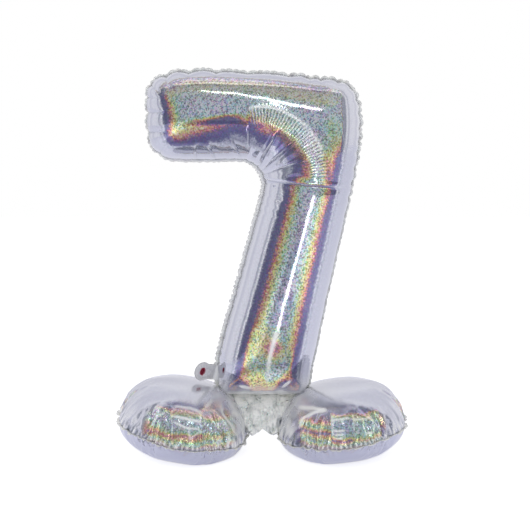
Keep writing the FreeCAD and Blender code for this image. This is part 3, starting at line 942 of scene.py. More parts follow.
# %% Colours and painted light of the number
def number_phase(x, z, natural, shape, height, into):
    """How far the film's colours are moved along the rainbow."""
    phase = 0.22 * (shape - 0.55) * height * np.exp(-(into / 70) ** 2)
    phase += (orange_shift(x, z, natural, ORANGE_LINE, True, (8, 30))
              + orange_shift(x, z, natural, TOP_LINE, False, (2, 11)))
    phase += thread_shift(x, z, natural, STRIPE_THREAD, 1) + thread_shift(x, z, natural, BAR_THREAD, -1)
    low = 0.3 * (1 - eased(z, 132, 160))
    phase += (low_patches(x, z, natural) - natural) * (1 - eased(natural - low, 0.26, 0.36))
    # in the outer corner they stay mixed, up to the edge of plain silver
    corner = eased(z, 545, 625) * eased(x, 105, 140)
    phase += np.where(natural < 0.40, np.minimum(0.19 - natural, 0), 0.08) * corner
    return phase, corner


def number_colours(x, z, run, index, into, tilt):
    """How the film's colours are shifted over the number, and where light and shade are painted on it."""
    shape, _ = puffs(number_big[0], run)
    height = np.clip((number_big[1][index] - 2.5) / 5, 0, 1)
    out = number_edge.out[index]
    smooth = np.c_[out[:, 0] * np.cos(tilt), np.sin(tilt), out[:, 1] * np.cos(tilt)]
    natural = colour_place(smooth, NUMBER_FACING, NUMBER_SPREAD)
    phase, corner = number_phase(x, z, natural, shape, height, into)
    # painted shade in the creases between the big puffs
    gleam = -0.55 * np.exp(-(shape / 0.25) ** 2) * height * np.exp(-(into / 42) ** 2)
    gleam += low_painted_glints(x, z)
    # painted light low on the stem, most where the film turns under and away
    gleam += 0.8 * (1 - eased(z, 106, 122)) + 0.5 * (1 - eased(z, 122, 160)) * eased(natural, 0.34, 0.5)
    # painted light in the outer corner
    gleam += 0.15 * corner
    # painted shade along the fanned folds
    reach, _, _, _ = beside(x, z, FOLD_SHADE)
    gleam -= 0.75 * np.exp(-(reach / 9) ** 4)
    return natural, phase, gleam


# %% [markdown]
# A sheet is a grid of points over the front view. From the distance to the sealed edge comes the
# tilt of the film, as on a tube of that radius, and from the tilt its height. The wide corner
# would come out as a sharp ridge, so the height is relaxed there as a soap film relaxes. Then
# puffs, folds and ridges push every point along the film's own direction.


# %% Form of the number's sheets
SURFACE_RADIUS = 80.0
FAN_X, FAN_Z, FAN_RADIUS = 50.0, 568.0, 58
RELAX_PASSES = 60


def edge_tilt(off, half):
    """The tilt of the tube's film at a distance in from its sealed edge, with the radius it turns on."""
    radius = np.minimum(half, SURFACE_RADIUS) + 0.35 * np.clip(half - SURFACE_RADIUS, 0, None)
    return np.arccos(1 - np.clip(off / radius, 0, 1)), radius


def relaxed(height, into):
    """The height of the film with its ridges relaxed, more so far from the sealed edge."""
    soft = np.clip(into / 45, 0, 1)[1:-1, 1:-1] ** 2 * 0.9
    for _ in range(RELAX_PASSES):
        mean = (height[2:, 1:-1] + height[:-2, 1:-1] + height[1:-1, 2:] + height[1:-1, :-2]) / 4
        height[1:-1, 1:-1] += soft * (mean - height[1:-1, 1:-1])
    return height


def fold_lift(x, z, side, seed):
    """Height and painted highlight and shade of the long folds; behind, they lie a little aside."""
    dice = np.random.default_rng(seed)
    lift, gleam = np.zeros(len(x)), np.zeros(len(x))
    for start, end, deep, lip in BEND_FANS + (SHORT_BARS if side < 0 else []):
        shift = dice.uniform(-5, 5, 2) if side > 0 else np.zeros(2)
        dent, painted_fold_line = long_fold(x, z, np.array(start), np.array(end) + shift, deep, lip)
        lift += dent
        gleam += painted_fold_line
    return lift, gleam


# %% The two sheets of the number
def number_sheet(name, side, seed):
    """One sheet of the number, side -1 in front and 1 behind."""
    middle, across = (outer + inner) / 2, (outer - inner) / 2
    flat = middle[:, None, :] + across[:, None, :] * np.cos(turn_rows)[None, :, None]
    x, z = flat[:, :, 0].ravel(), flat[:, :, 1].ravel()
    run, index, off = number_edge.nearest(np.c_[x, z])
    tilt, radius = edge_tilt(off, np.repeat(np.linalg.norm(across, axis=1), ROWS))
    rim = np.zeros((len(depth), ROWS), bool)
    rim[[0, -1], :] = rim[:, [0, -1]] = True
    tilt[rim.ravel()] = 0
    into = radius * tilt
    y = side * relaxed((TUBE_DEPTH * np.sin(tilt)).reshape(rim.shape), into.reshape(rim.shape)).ravel()
    lift = sum(edge_lift(folds, run, index, into) for folds in (number_big, number_small))
    natural, phase, gleam = number_colours(x, z, run, index, into, tilt)
    dents, painted_light_lines = fold_lift(x, z, side, seed)
    ridges, gathered, ridge_gleam = gathered_ridges(x, z)
    lift += dents + (ridges + 0.9 * gathered) * np.sin(tilt)
    way = np.c_[number_edge.out[index] * np.cos(tilt)[:, None], side * np.sin(tilt)]
    points = np.c_[x + way[:, 0] * lift, y + way[:, 2] * lift, z + way[:, 1] * lift]
    crush = 0.9 * np.exp(-(into / 16) ** 2) + 0.25 * np.exp(-(into / 45) ** 2)
    piece = mesh_object(name, points, grid_faces(len(depth), ROWS, side > 0), np.c_[run, into], crush)
    # the fanned folds tilt the film, and most of that tilt is taken out of its colours
    fan = np.exp(-(np.hypot(x - FAN_X, z - FAN_Z) / FAN_RADIUS) ** 4)
    phase -= 0.75 * fan * (colour_place(slopes_of(piece), NUMBER_FACING, NUMBER_SPREAD) - natural)
    # painted light and shade of the sheet, its folds and its ridges
    paint(piece, phase=phase, gleam=gleam + painted_light_lines + ridge_gleam)
    piece.data.materials.append(number_foil)
    return piece


number_front = number_sheet("number_front_foil", -1, 3)
number_back = number_sheet("number_back_foil", 1, 4)
for sheet, node in ((number_front, "number_front_film"), (number_back, "number_back_film")):
    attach(sheet, "number")
    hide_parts(node)
print("number sheets", len(number_front.data.polygons), "quads each")


# %% [markdown]
# ## The sealed edge
# Outside the chamber the two sheets are welded into a flat band 5 mm wide. The gathers of the
# chamber pull it into scallops, and it flutters a little out of its plane between them. It is
# modelled as a closed ring, so that it has a real rim to catch the light.


# %% Sealed edges
BAND_DULLING_AND_PAINTED_SHADE = [-0.1, 0.6, 0.85, 0.45]    # across the band, from the chamber outwards: painted shade in the tuck, then milky dulled weld


def sealed_edge(name, base, out, lift, flutter, width, thick=0.5, tuck=1.2):
    """A welded band round a closed base line (n x 3, mm), standing out by a width or widths along out."""
    width = np.broadcast_to(width, len(base))
    across = [np.full(len(base), -tuck), width * 0.35, width * 0.7, width]
    up = np.cross(np.roll(base, -1, axis=0) - base, out)
    up /= np.linalg.norm(up, axis=1)[:, None]
    ring, film = [], []
    run = running_length(base)
    for face in (1, -1):
        for k, reach in list(enumerate(across))[::face]:
            share = k / 3
            far = reach if k == 0 else reach * (1 + lift * share)
            at = base + out * far[:, None] + up * (flutter * share ** 1.4)[:, None]
            ring.append(at + up * face * thick / 2)
            film.append(np.c_[run, reach])
    points = np.stack(ring, 1)
    n, m = points.shape[:2]
    faces = []
    for i in range(n):
        j = (i + 1) % n
        for k in range(m):
            l = (k + 1) % m
            faces.append([i * m + k, i * m + l, j * m + l, j * m + k])
    film = np.stack(film, 1).reshape(-1, 2)
    piece = mesh_object(name, points.reshape(-1, 3), faces, film, np.full(n * m, 0.9))
    paint(piece, gleam=np.tile(BAND_DULLING_AND_PAINTED_SHADE + BAND_DULLING_AND_PAINTED_SHADE[::-1], n))
    piece.data.materials.append(seal_foil)
    return piece


def wander(length, run, pitch, seed):
    """A smooth random wave round a closed line, about -1 to 1."""
    dice = np.random.default_rng(seed)
    wave = np.zeros_like(run)
    for _ in range(6):
        turns = max(1, round(length / (pitch * dice.uniform(0.6, 2.2))))
        wave += np.sin(2 * math.pi * turns * run / length + dice.uniform(0, 6.28)) / 6 ** 0.5
    return wave


print("weld %.0f mm wide" % WELD_WIDTH)

# %% [markdown]
# The band of the number is wider where less film was gathered, as round the inner bend and down
# the stem, and a little narrower at the bar's end, where the puffs pull it in.


# %% Sealed edge of the number
SEAL_WIDTHS = [(-90, 15, 104, 545, 7.5), (60, 200, 104, 560, 3.6), (-215, -180, 540, 720, 4.0)]
loop_index = np.arange(0, len(number_edge.points), 2)
loop_run = number_edge.run[loop_index]
zero = np.zeros(len(loop_index))
loop_lift = sum(edge_lift(folds, loop_run, loop_index, zero)
                for folds in (number_big, number_small))
loop_out = number_edge.out[loop_index]
loop_points = number_edge.points[loop_index] + loop_out * loop_lift[:, None]
scallop, _ = puffs(number_small[0], loop_run)
fluttering = wander(number_edge.length, loop_run, 16, 21) * (0.5 + 0.9 * number_small[1][loop_index])
seal_width = np.array([region(x, z, SEAL_WIDTHS, WELD_WIDTH) for x, z in number_edge.points], float)
number_seal = sealed_edge("number_heat_seal", np.c_[loop_points[:, 0], zero, loop_points[:, 1]],
                          np.c_[loop_out[:, 0], zero, loop_out[:, 1]], 0.35 * (scallop - 0.7),
                          fluttering, blur(seal_width, EASE)[loop_index])
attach(number_seal, "number")
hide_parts("number_seam")
print("number seal", len(number_seal.data.polygons))

# %% [markdown]
# ## The feet
# Each foot is a round pillow cut from two flat ovals. It is made the way the real one is: the
# flat ovals are joined round their edge and blown up by a cloth simulation, which finds the
# folds by itself.


# %% Flat cut
PILLOW_HEIGHT = 67.0    # mm from a pillow's weld up to its top, before it is blown up


def flat_cut(line, spacing, inside):
    """Triangles over a closed flat outline: (points, triangles, number of edge points)."""
    loop = np.vstack([line, line[:1]])
    run = running_length(loop)
    at = np.linspace(0, run[-1], int(round(run[-1] / spacing)), endpoint=False)
    rim = np.c_[np.interp(at, run, loop[:, 0]), np.interp(at, run, loop[:, 1])]
    low, high = rim.min(0), rim.max(0)
    grid = []
    for k, v in enumerate(np.arange(low[1], high[1], spacing * 0.866)):
        u = np.arange(low[0], high[0], spacing) + (k % 2) * spacing / 2
        grid.append(np.c_[u, np.full(len(u), v)])
    grid = np.vstack(grid)
    grid = grid[inside(grid)]
    every = [Vector(p) for p in np.vstack([rim, grid])]
    border = [(i, (i + 1) % len(rim)) for i in range(len(rim))]
    found = geometry.delaunay_2d_cdt(every, border, [], 1, 1e-7)
    points = np.array([list(p) for p in found[0]])
    faces = np.array([tuple(f) for f in found[2]])
    a, b, c = (points[faces[:, k]] for k in range(3))
    turned = (b[:, 0] - a[:, 0]) * (c[:, 1] - a[:, 1]) - (b[:, 1] - a[:, 1]) * (c[:, 0] - a[:, 0]) < 0
    faces[turned] = faces[turned][:, ::-1]
    return points, faces, len(rim)


def quarter_girth(half, high):
    """A quarter of the way round an oval."""
    return math.pi * (3 * (half + high) - math.sqrt((3 * half + high) * (half + 3 * high))) / 4


print("quarter girth %.0f mm" % quarter_girth(FEET["left"]["half_width"], PILLOW_HEIGHT))

# %% [markdown]
# The simulation needs a start, and it is the same oval dome above and below. Its rest shape is
# the flat cut, so the film holds its own area, and where a dome needs less of it the rim gathers
# into folds. The film hardly resists being pushed together and strongly resists stretching,
# which is what separates foil from rubber.


# %% Inflation
INFLATE_FRAMES = 20
TENSION, PUSH, BEND = 40, 0.5, 0.005    # how the film resists being stretched, pushed together and bent


def settled_film(start, flat, faces, spacing, pressure):
    """Where film that was cut flat comes to rest when it is blown up, from a start shape, in metres."""
    mesh = bpy.data.meshes.new("pillow")
    mesh.from_pydata(start.tolist(), [], faces.tolist())
    pillow = bpy.data.objects.new("pillow", mesh)
    bpy.context.scene.collection.objects.link(pillow)
    pillow.shape_key_add(name="Basis")
    cut = pillow.shape_key_add(name="flat_cut")
    cut.data.foreach_set("co", flat.astype(np.float32).ravel())
    cloth = pillow.modifiers.new("Cloth", "CLOTH")
    film = cloth.settings
    film.quality = 4
    film.mass = 0.01 * (spacing / 5.0) ** 2
    film.tension_stiffness, film.compression_stiffness, film.shear_stiffness = TENSION, PUSH, PUSH
    film.bending_stiffness = BEND
    film.tension_damping, film.compression_damping = 5, 2
    film.shear_damping, film.bending_damping = 2, 0.5
    film.air_damping = 2
    film.use_pressure, film.uniform_pressure_force = True, pressure
    film.effector_weights.gravity = 0
    film.rest_shape_key = cut
    for step in range(1, INFLATE_FRAMES + 1):
        bpy.context.scene.frame_set(step)
    settled_mesh = bpy.data.meshes.new_from_object(
        pillow.evaluated_get(bpy.context.evaluated_depsgraph_get()))
    settled = np.zeros(len(settled_mesh.vertices) * 3, np.float32)
    settled_mesh.vertices.foreach_get("co", settled)
    bpy.data.objects.remove(pillow)
    bpy.data.meshes.remove(settled_mesh)
    bpy.context.scene.frame_set(1)
    return settled.reshape(-1, 3).astype(float)


def blown_pillow(half_width, half_depth, high, spacing, pressure):
    """A pillow blown up from two flat ovals, in mm: top points, bottom points, triangles, rim size, cut."""
    cut_u, cut_v = quarter_girth(half_width, high), quarter_girth(half_depth, high)
    turn = np.linspace(0, 2 * math.pi, 720, endpoint=False)
    within = 1 - 0.6 * spacing / cut_u
    points, faces, rim = flat_cut(np.c_[cut_u * np.cos(turn), cut_v * np.sin(turn)], spacing,
                                  lambda p: np.hypot(p[:, 0] / cut_u, p[:, 1] / cut_v) < within)
    n = len(points)
    share = np.clip(np.hypot(points[:, 0] / cut_u, points[:, 1] / cut_v), 0, 1)
    open_angle = share * math.pi / 2
    swell = np.where(share > 1e-6, np.sin(open_angle) / np.maximum(share, 1e-6), math.pi / 2)
    x, y = points[:, 0] / cut_u * half_width * swell, points[:, 1] / cut_v * half_depth * swell
    z = high * np.cos(open_angle)
    z[:rim] = 0
    below = np.r_[np.arange(rim), n + np.arange(n - rim)]
    settled = np.vstack([np.c_[x, y, z], np.c_[x, y, -z][rim:]]) * MM
    flat = np.vstack([np.c_[points, np.zeros(n)], np.c_[points, np.zeros(n)][rim:]]) * MM
    both = np.vstack([faces, below[faces][:, ::-1]])
    settled = settled_film(settled, flat, both, spacing, pressure)
    settled = settled / MM
    return settled[:n], settled[below], faces, rim, points


print("simulation of %d frames" % INFLATE_FRAMES)

# %% [markdown]
# The number stands between the feet, and their film lies against it. The simulation knows
# nothing of it, so points that land inside the number's tube are pushed out to its skin.


# %% Room beside the number
WAIST_ZONE = (-110, 125, 96)    # mm: x from and to, and the lowest z of the number's tube
tube_tree = kdtree.KDTree(len(depth))
for i in range(len(depth)):
    mid = (outer[i] + inner[i]) / 2
    tube_tree.insert((mid[0], mid[1], 0), i)
tube_tree.balance()


def clear_of_number(points, gap):
    """Pushes points out of the number's tube until they are a gap away from it, in mm."""
    moved = points.copy()
    for k, (x, y, z) in enumerate(points):
        if z < WAIST_ZONE[2] or x < WAIST_ZONE[0] or x > WAIST_ZONE[1]:
            continue
        i = tube_tree.find((x, z, 0))[1]
        middle, across = (outer[i] + inner[i]) / 2, (outer[i] - inner[i]) / 2
        half = np.linalg.norm(across)
        across = across / half
        off = np.array([x, z]) - middle
        beyond = abs(off[0] * across[1] - off[1] * across[0])
        u, v = off @ across / (half + gap), y / (max(depth[i], 2) + gap)
        inside = math.hypot(u, v)
        if beyond < gap and 1e-6 < inside < 1:
            moved[k, 0] += across[0] * (u / inside - u) * (half + gap)
            moved[k, 2] += across[1] * (u / inside - u) * (half + gap)
            moved[k, 1] += (v / inside - v) * (max(depth[i], 2) + gap)
    return moved


print("tube samples", len(depth))

# %% [markdown]
# Crushed film is made of flat facets that meet in hard creases. A sum of sharp-edged waves in
# random directions gives just that, where noise would give round lumps.


# %% Crumpled film
def crush_waves(points, size, seed, folds):
    """Where points stand on each of the waves that crush film, in wave lengths."""
    dice = np.random.default_rng(seed)
    bent = points + 0.22 * size * np.sin(points[:, [1, 2, 0]] / size * 2.1 + seed)
    for _ in range(folds):
        way = dice.normal(size=3)
        yield bent @ (way / np.linalg.norm(way)) / (size * dice.uniform(0.7, 1.9)) + dice.random()


def crumple(points, size, depth_mm, seed, folds=10):
    """The height of crushed film: flat facets between creases in random directions, in mm."""
    height = np.zeros(len(points))
    for place in crush_waves(points, size, seed, folds):
        height += np.abs(2 * (place - np.floor(place + 0.5))) - 0.5
    return depth_mm * height / math.sqrt(folds)


def creased(points, size, seed, folds, width):
    """1 on the creases of the same crushed film, and 0 on its facets."""
    line = np.zeros(len(points))
    for place in crush_waves(points, size, seed, folds):
        line = np.maximum(line, np.exp(-((place - np.round(place)) / width) ** 2))
    return line


# %% [markdown]
# A blown pillow is level and alike in front and behind. The real feet are tipped up towards
# their outer ends, their crests lean to the front, and the balloon's weight presses a flat sole.
# These steps set all three, in a foot's own frame round its sealed edge.


# %% Setting a foot on the floor
FOOT_SPACING = 4.6
CREST_SHIFT = 36.0


def to_floor(points, foot):
    """Tips points round a foot's own level seam, carries them to its place and flattens its sole."""
    c, s = math.cos(foot["tilt"]), math.sin(foot["tilt"])
    x, z = points[:, 0] * c + points[:, 2] * s, points[:, 2] * c - points[:, 0] * s
    return np.c_[x + foot["x"], points[:, 1], np.maximum(z + FOOT_SEAM_Z, 0.0)]


def inside_foot(points, foot):
    """How deep points are in a foot: 0 at its middle and 1 on its film."""
    c, s = math.cos(foot["tilt"]), math.sin(foot["tilt"])
    x, z = points[:, 0] - foot["x"], points[:, 2] - FOOT_SEAM_Z
    x, z = x * c - z * s, x * s + z * c
    tall = np.where(z > 0, foot["top"], FOOT_SAG)
    return np.sqrt((x / foot["half_width"]) ** 2 + (points[:, 1] / foot["half_depth"]) ** 2
                   + (z / tall) ** 2)


def settle_foot(points, foot, wide, deep, high, low):
    """Sets a blown pillow to the foot's size, with its crest towards the front and a flat sole."""
    x, y = points[:, 0] / wide * foot["half_width"], points[:, 1] / deep * foot["half_depth"]
    z = points[:, 2]
    sink = np.clip(-z / low, 0, 1)
    ring = np.sqrt(1 - sink ** 2)
    rounded = np.sqrt(np.clip(1 - ((ring - FOOT_FLAT) / (1 - FOOT_FLAT)) ** 2, 0, 1))
    sole = np.where(ring < FOOT_FLAT, 1, rounded)
    rise = np.clip(z / high, 0, 1)
    height = np.where(z > 0, rise * foot["top"], -sole * FOOT_SAG)
    return np.c_[x, y - CREST_SHIFT * (1 - np.sqrt(1 - rise ** 2)), height]


print("crest %.0f mm forward" % CREST_SHIFT)

# %% [markdown]
# ## What shows on a foot's front
# Each foot shows a few broad panels between hard creases, with painted shade along them, a
# coloured part with plain silver round it, and painted bright lines that stand for folds
# mirroring the white wall. They are too few and too particular for a random pattern, so each
# foot has a plan of its own on the front view. The bands are given from the crest down, and
# they lean with the foot.


# %% Plans of the feet
# gap, height and reach of the puffs round each foot's own seam, in mm
FOOT_PANELS = [
    (-110, 110, -200, -60, (40, 1.6, 40)), (-110, 110, 60, 200, (40, 1.6, 40)),
    (-200, 200, -200, 200, (36, 5.0, 55))]
FOOT_WRINKLES = [(-150, 150, -200, 200, (10.5, 3.0, 17))]
USUAL_PANEL, USUAL_WRINKLE = (50, 4.0, 60), (15, 1.6, 14)

# creases and outline: points in mm; painted highlight lines: a bent line and its strength;
# bands: (height in mm, place among the film's colours) for each panel from left to right
FOOT_PLANS = {
    "left": {
        "creases": [
            [(-198, 109), (-202, 92), (-207, 66)], [(-166, 117), (-163, 88), (-162, 46)],
            [(-106, 113), (-105, 84), (-104, 46)], [(-73, 103), (-61, 88), (-48, 69), (-43, 50)]],
        "outline": [
            (-212, 80), (-204, 102), (-188, 113), (-168, 119), (-150, 124), (-128, 122), (-108, 115),
            (-84, 112), (-70, 104), (-56, 84), (-44, 62), (-44, 44), (-80, 36), (-160, 40), (-198, 50),
            (-214, 62)],
        "painted_light_lines": [
            ([(-158, 117), (-129, 113), (-107, 105)], 0.7), ([(-160, 103), (-135, 98), (-107, 91)], 0.95),
            ([(-158, 94), (-134, 84), (-110, 80)], 0.85), ([(-131, 82), (-127, 66), (-110, 77)], 0.6),
            ([(-163, 106), (-159, 80)], 0.5), ([(-106, 107), (-101, 85)], 0.6),
            ([(-73, 103), (-68, 93), (-54, 74), (-44, 51)], 0.9), ([(-202, 106), (-207, 85)], 0.5),
            ([(-101, 112), (-91, 117)], 0.6), ([(-54, 91), (-43, 80)], 0.6)],
        "lean": 0.16,
        "bands": [
            [(110, 0.38), (96, 0.14), (84, 0.26), (70, 0.24), (50, 0.31)],
            [(115, 0.35), (106, 0.14), (92, 0.12), (80, 0.15), (70, 0.25), (60, 0.14), (48, 0.24)],
            [(118, 0.36), (112, 0.28), (106, 0.235), (101, 0.17), (96, 0.09), (86, 0.1), (76, 0.14),
            (70, 0.25), (63, 0.19), (54, 0.12), (47, 0.27)],
            [(112, 0.22), (105, 0.29), (98, 0.24), (88, 0.12), (76, 0.11), (66, 0.2), (56, 0.13),
            (47, 0.25)],
            [(104, 0.33), (94, 0.24), (84, 0.12), (74, 0.22), (64, 0.26), (52, 0.32)]]},
    "right": {
        "creases": [
            [(68, 76), (69, 59), (71, 37)], [(124, 107), (124, 78), (125, 45)],
            [(163, 110), (163, 79), (164, 46)], [(213, 100), (217, 83), (220, 56)]],
        "outline": [
            (60, 56), (60, 80), (74, 94), (98, 105), (122, 111), (152, 115), (184, 114), (210, 107),
            (220, 92), (226, 70), (218, 48), (160, 38), (100, 38), (66, 40)],
        "painted_light_lines": [
            ([(66, 69), (75, 89), (94, 102), (117, 108)], 0.8), ([(126, 95), (142, 96), (159, 99)], 0.8),
            ([(129, 78), (149, 79)], 0.9), ([(131, 72), (147, 73)], 0.8), ([(132, 66), (145, 67)], 0.8),
            ([(166, 97), (182, 96), (201, 97)], 0.75), ([(186, 72), (201, 73)], 0.9),
            ([(125, 103), (126, 78)], 0.6), ([(165, 105), (165, 79)], 0.6),
            ([(69, 101), (94, 108), (117, 109)], 0.9), ([(209, 101), (216, 89)], 0.6),
            ([(85, 72), (83, 45)], 0.5), ([(106, 79), (106, 63)], 0.4)],
        "lean": -0.05,
        "bands": [
            [(90, 0.36), (70, 0.31), (50, 0.33)],
            [(108, 0.35), (98, 0.3), (90, 0.255), (82, 0.15), (72, 0.29), (64, 0.18), (56, 0.13),
            (48, 0.24)],
            [(108, 0.35), (103, 0.24), (98, 0.15), (90, 0.07), (78, 0.1), (70, 0.13), (62, 0.27),
            (54, 0.14), (47, 0.25)],
            [(108, 0.35), (103, 0.25), (98, 0.2), (91, 0.17), (82, 0.1), (70, 0.12), (62, 0.21),
            (55, 0.12), (47, 0.25)],
            [(104, 0.36), (90, 0.24), (78, 0.27), (64, 0.33)]]}}
print("plans for", ", ".join(FOOT_PLANS))

# %% [markdown]
# Three measures read a plan: how far a point is from a bent line, which panel it is in and how
# far outside the coloured outline it lies.


# %% Reading a plan
def to_line(x, z, points):
    """Distance in mm from a bent line, and how far along it the nearest place is, from 0 to 1."""
    points = np.array(points, float)
    nearest, place = np.full(len(x), 1e9), np.zeros(len(x))
    for k in range(len(points) - 1):
        way = points[k + 1] - points[k]
        t = np.clip(((x - points[k, 0]) * way[0] + (z - points[k, 1]) * way[1]) / (way @ way), 0, 1)
        gap = np.hypot(x - points[k, 0] - t * way[0], z - points[k, 1] - t * way[1])
        place = np.where(gap < nearest, (k + t) / (len(points) - 1), place)
        nearest = np.minimum(nearest, gap)
    return nearest, place


def panel_of(x, z, creases):
    """Which panel a place is in, counted by the creases on its left."""
    return sum((x > np.interp(z, *np.array(line, float)[::-1, ::-1].T)).astype(int) for line in creases)


def outside(x, z, outline):
    """Distance in mm out of a closed outline, negative inside it."""
    corners = np.array(outline + outline[:1], float)
    off, _ = to_line(x, z, corners)
    crossed = np.zeros(len(x), int)
    for (ax, az), (bx, bz) in zip(corners[:-1], corners[1:]):
        if az != bz:
            crossed += ((az > z) != (bz > z)) & (x < ax + (z - az) * (bx - ax) / (bz - az))
    return np.where(crossed % 2 == 1, -off, off)


UPRIGHT = (20, 60)    # mm off the middle plane: from here the front film stands upright enough to be seen


def foot_finish(x, y, z, plan):
    """The creases of a foot's film in mm, the place of its colours, its painted light and shade, and where it
    is plain.
    """
    panel = panel_of(x, z, plan["creases"])
    middle = np.mean([corner[0] for corner in plan["outline"]])
    level = z + plan["lean"] * (x - middle) * 0.5 + 1.5 * np.sin(x / 7.0)
    wanted = np.zeros(len(x))
    for k, bands in enumerate(plan["bands"]):
        heights, places = np.array(bands[::-1], float).T
        wanted = np.where(panel == k, np.interp(level, heights, places), wanted)
    upright = eased(np.abs(y), *UPRIGHT)
    edge = outside(x, z, plan["outline"])
    plain = eased(edge, -5, 6) * upright
    plain = np.maximum(plain, (1 - upright) * eased(z, 96, 108))
    plain = np.maximum(plain, 1 - eased(np.abs(x - WAIST_X), 44, 60))
    creases, gleam = np.zeros(len(x)), np.zeros(len(x))
    for line in plan["creases"]:
        off, place = to_line(x, z, line)
        ends = np.clip(6 * np.minimum(place, 1 - place) + 0.2, 0, 1)
        creases += (-3.2 * np.exp(-off / 4.5) + 1.2 * np.exp(-((off - 14) / 10) ** 2)) * ends * upright
        # painted shade along the creases
        gleam -= 0.35 * np.exp(-(off / 1.8) ** 2) * ends * upright
    for line, strength in plan["painted_light_lines"]:
        off, place = to_line(x, z, line)
        ends = np.clip(8 * np.minimum(place, 1 - place) + 0.35, 0, 1)
        # painted highlight lines
        gleam += strength * np.exp(-(off / 1.9) ** 2) * ends * upright
    return creases, wanted, gleam, plain


print("creases", sum(len(plan["creases"]) for plan in FOOT_PLANS.values()))

# %% [markdown]
# ## Making a foot's sheets
# The simulated pillow is coarse. It is set in place with its big panels and crushed film beside
# the waist, then each face is split in four, and the small wrinkles, creases and colours go on
# the finer mesh.


# %% Steps of a foot's sheet
def near_waist(points, wide, deep):
    """1 beside the waist, fading out over a width and a depth in mm."""
    return np.exp(-((points[:, 0] - WAIST_X) / wide) ** 2 - (points[:, 1] / deep) ** 2)


def away_from(points, foot):
    """The way out of a foot's film at points measured from its middle."""
    outward = points / np.array([foot["half_width"], foot["half_depth"], foot["top"]]) ** 2
    return outward / np.maximum(np.linalg.norm(outward, axis=1), 1e-9)[:, None]


def placed_foot(points, foot, is_top, size, panel_lift, rim):
    """Half a pillow set in its place with its panels, pushed clear of the number, in mm."""
    placed = settle_foot(points, foot, *size)
    lift = panel_lift(1) if is_top else 0.5 * panel_lift(2)
    lift[:rim] = panel_lift(1)[:rim] * 0.7
    placed = to_floor(placed + away_from(placed, foot) * lift[:, None], foot)
    near = near_waist(placed, 62, 75)
    placed[:, 1] += crumple(placed, 26, 5, 31) * near * 1.2
    if is_top:
        placed[rim:, 2] += (crumple(placed, 22, 5, 32) * near * 1.6)[rim:]
        placed = clear_of_number(placed, 5.0)
    return placed


def split_film(sheet, cut, rim):
    """Splits a sheet's faces in four: its points in mm, their places on the cut, and how free they are."""
    flat_place = sheet.data.attributes.new("cut", "FLOAT_VECTOR", "POINT")
    flat_place.data.foreach_set("vector", np.c_[cut, np.zeros(len(cut))].astype(np.float32).ravel())
    paint(sheet, rim=np.arange(len(cut)) < rim)
    finer = sheet.modifiers.new("finer", "SUBSURF")
    finer.levels = finer.render_levels = 1
    finer.uv_smooth = "NONE"
    bpy.context.view_layer.objects.active = sheet
    bpy.ops.object.modifier_apply(modifier="finer")
    count = len(sheet.data.vertices)
    spot, flat = np.zeros(3 * count, np.float32), np.zeros(3 * count, np.float32)
    welded = np.zeros(count, np.float32)
    sheet.data.vertices.foreach_get("co", spot)
    sheet.data.attributes["cut"].data.foreach_get("vector", flat)
    sheet.data.attributes["rim"].data.foreach_get("value", welded)
    for spare in ("cut", "rim"):
        sheet.data.attributes.remove(sheet.data.attributes[spare])
    free = 1 - np.clip(welded * 1.02, 0, 1)
    return spot.reshape(-1, 3).astype(float) / MM, flat.reshape(-1, 3)[:, :2].astype(float), free


def foot_gleam(spot, foot, run, into, wave):
    """Painted highlights and shade of a foot's upper film at its puffs and on its crushed ends, and painted
    light and dulling towards the waist and on its top.
    """
    # painted highlights on the puffs by the weld and painted shade between them
    gleam = (0.8 * (wave > 0.93) - 0.45 * (wave < 0.55)) * np.exp(-((into - 9) / 9) ** 2)
    # the film's ends are crushed into folds that run in from the weld, with painted highlights and painted
    # shade on them
    at_end = eased(np.abs(spot[:, 0] - foot["x"]), 52, 84) * np.exp(-(into / 46) ** 2) * (spot[:, 1] < 0)
    folds = crumple(np.c_[run, 0.35 * into, 0 * run], 13, 2.4, 71, 6)
    gleam += at_end * (0.75 * np.clip(folds, 0, 1) - 0.9 * np.clip(-folds, 0, 1))
    off = spot[:, 0] - WAIST_X
    beside_waist = np.exp(-(off / 84) ** 4) * np.exp(-(spot[:, 1] / 120) ** 4)
    # dulled crumpled film beside the waist, painted lighter where it lies in shade
    gleam += beside_waist * np.clip(0.55 + 0.6 * crumple(spot, 30, 1.0, 33, 8), 0, 1.0)
    # painted light on the foot's top, away from the waist
    return gleam + (1 - beside_waist) * 0.45 * np.exp(-(off / 130) ** 4) * eased(spot[:, 2], 88, 108)


def set_points(sheet, spot):
    """Puts a sheet's points in place, none of them under the floor, in mm."""
    spot[:, 2] = np.maximum(spot[:, 2], 0)
    sheet.data.vertices.foreach_set("co", (spot * MM).astype(np.float32).ravel())


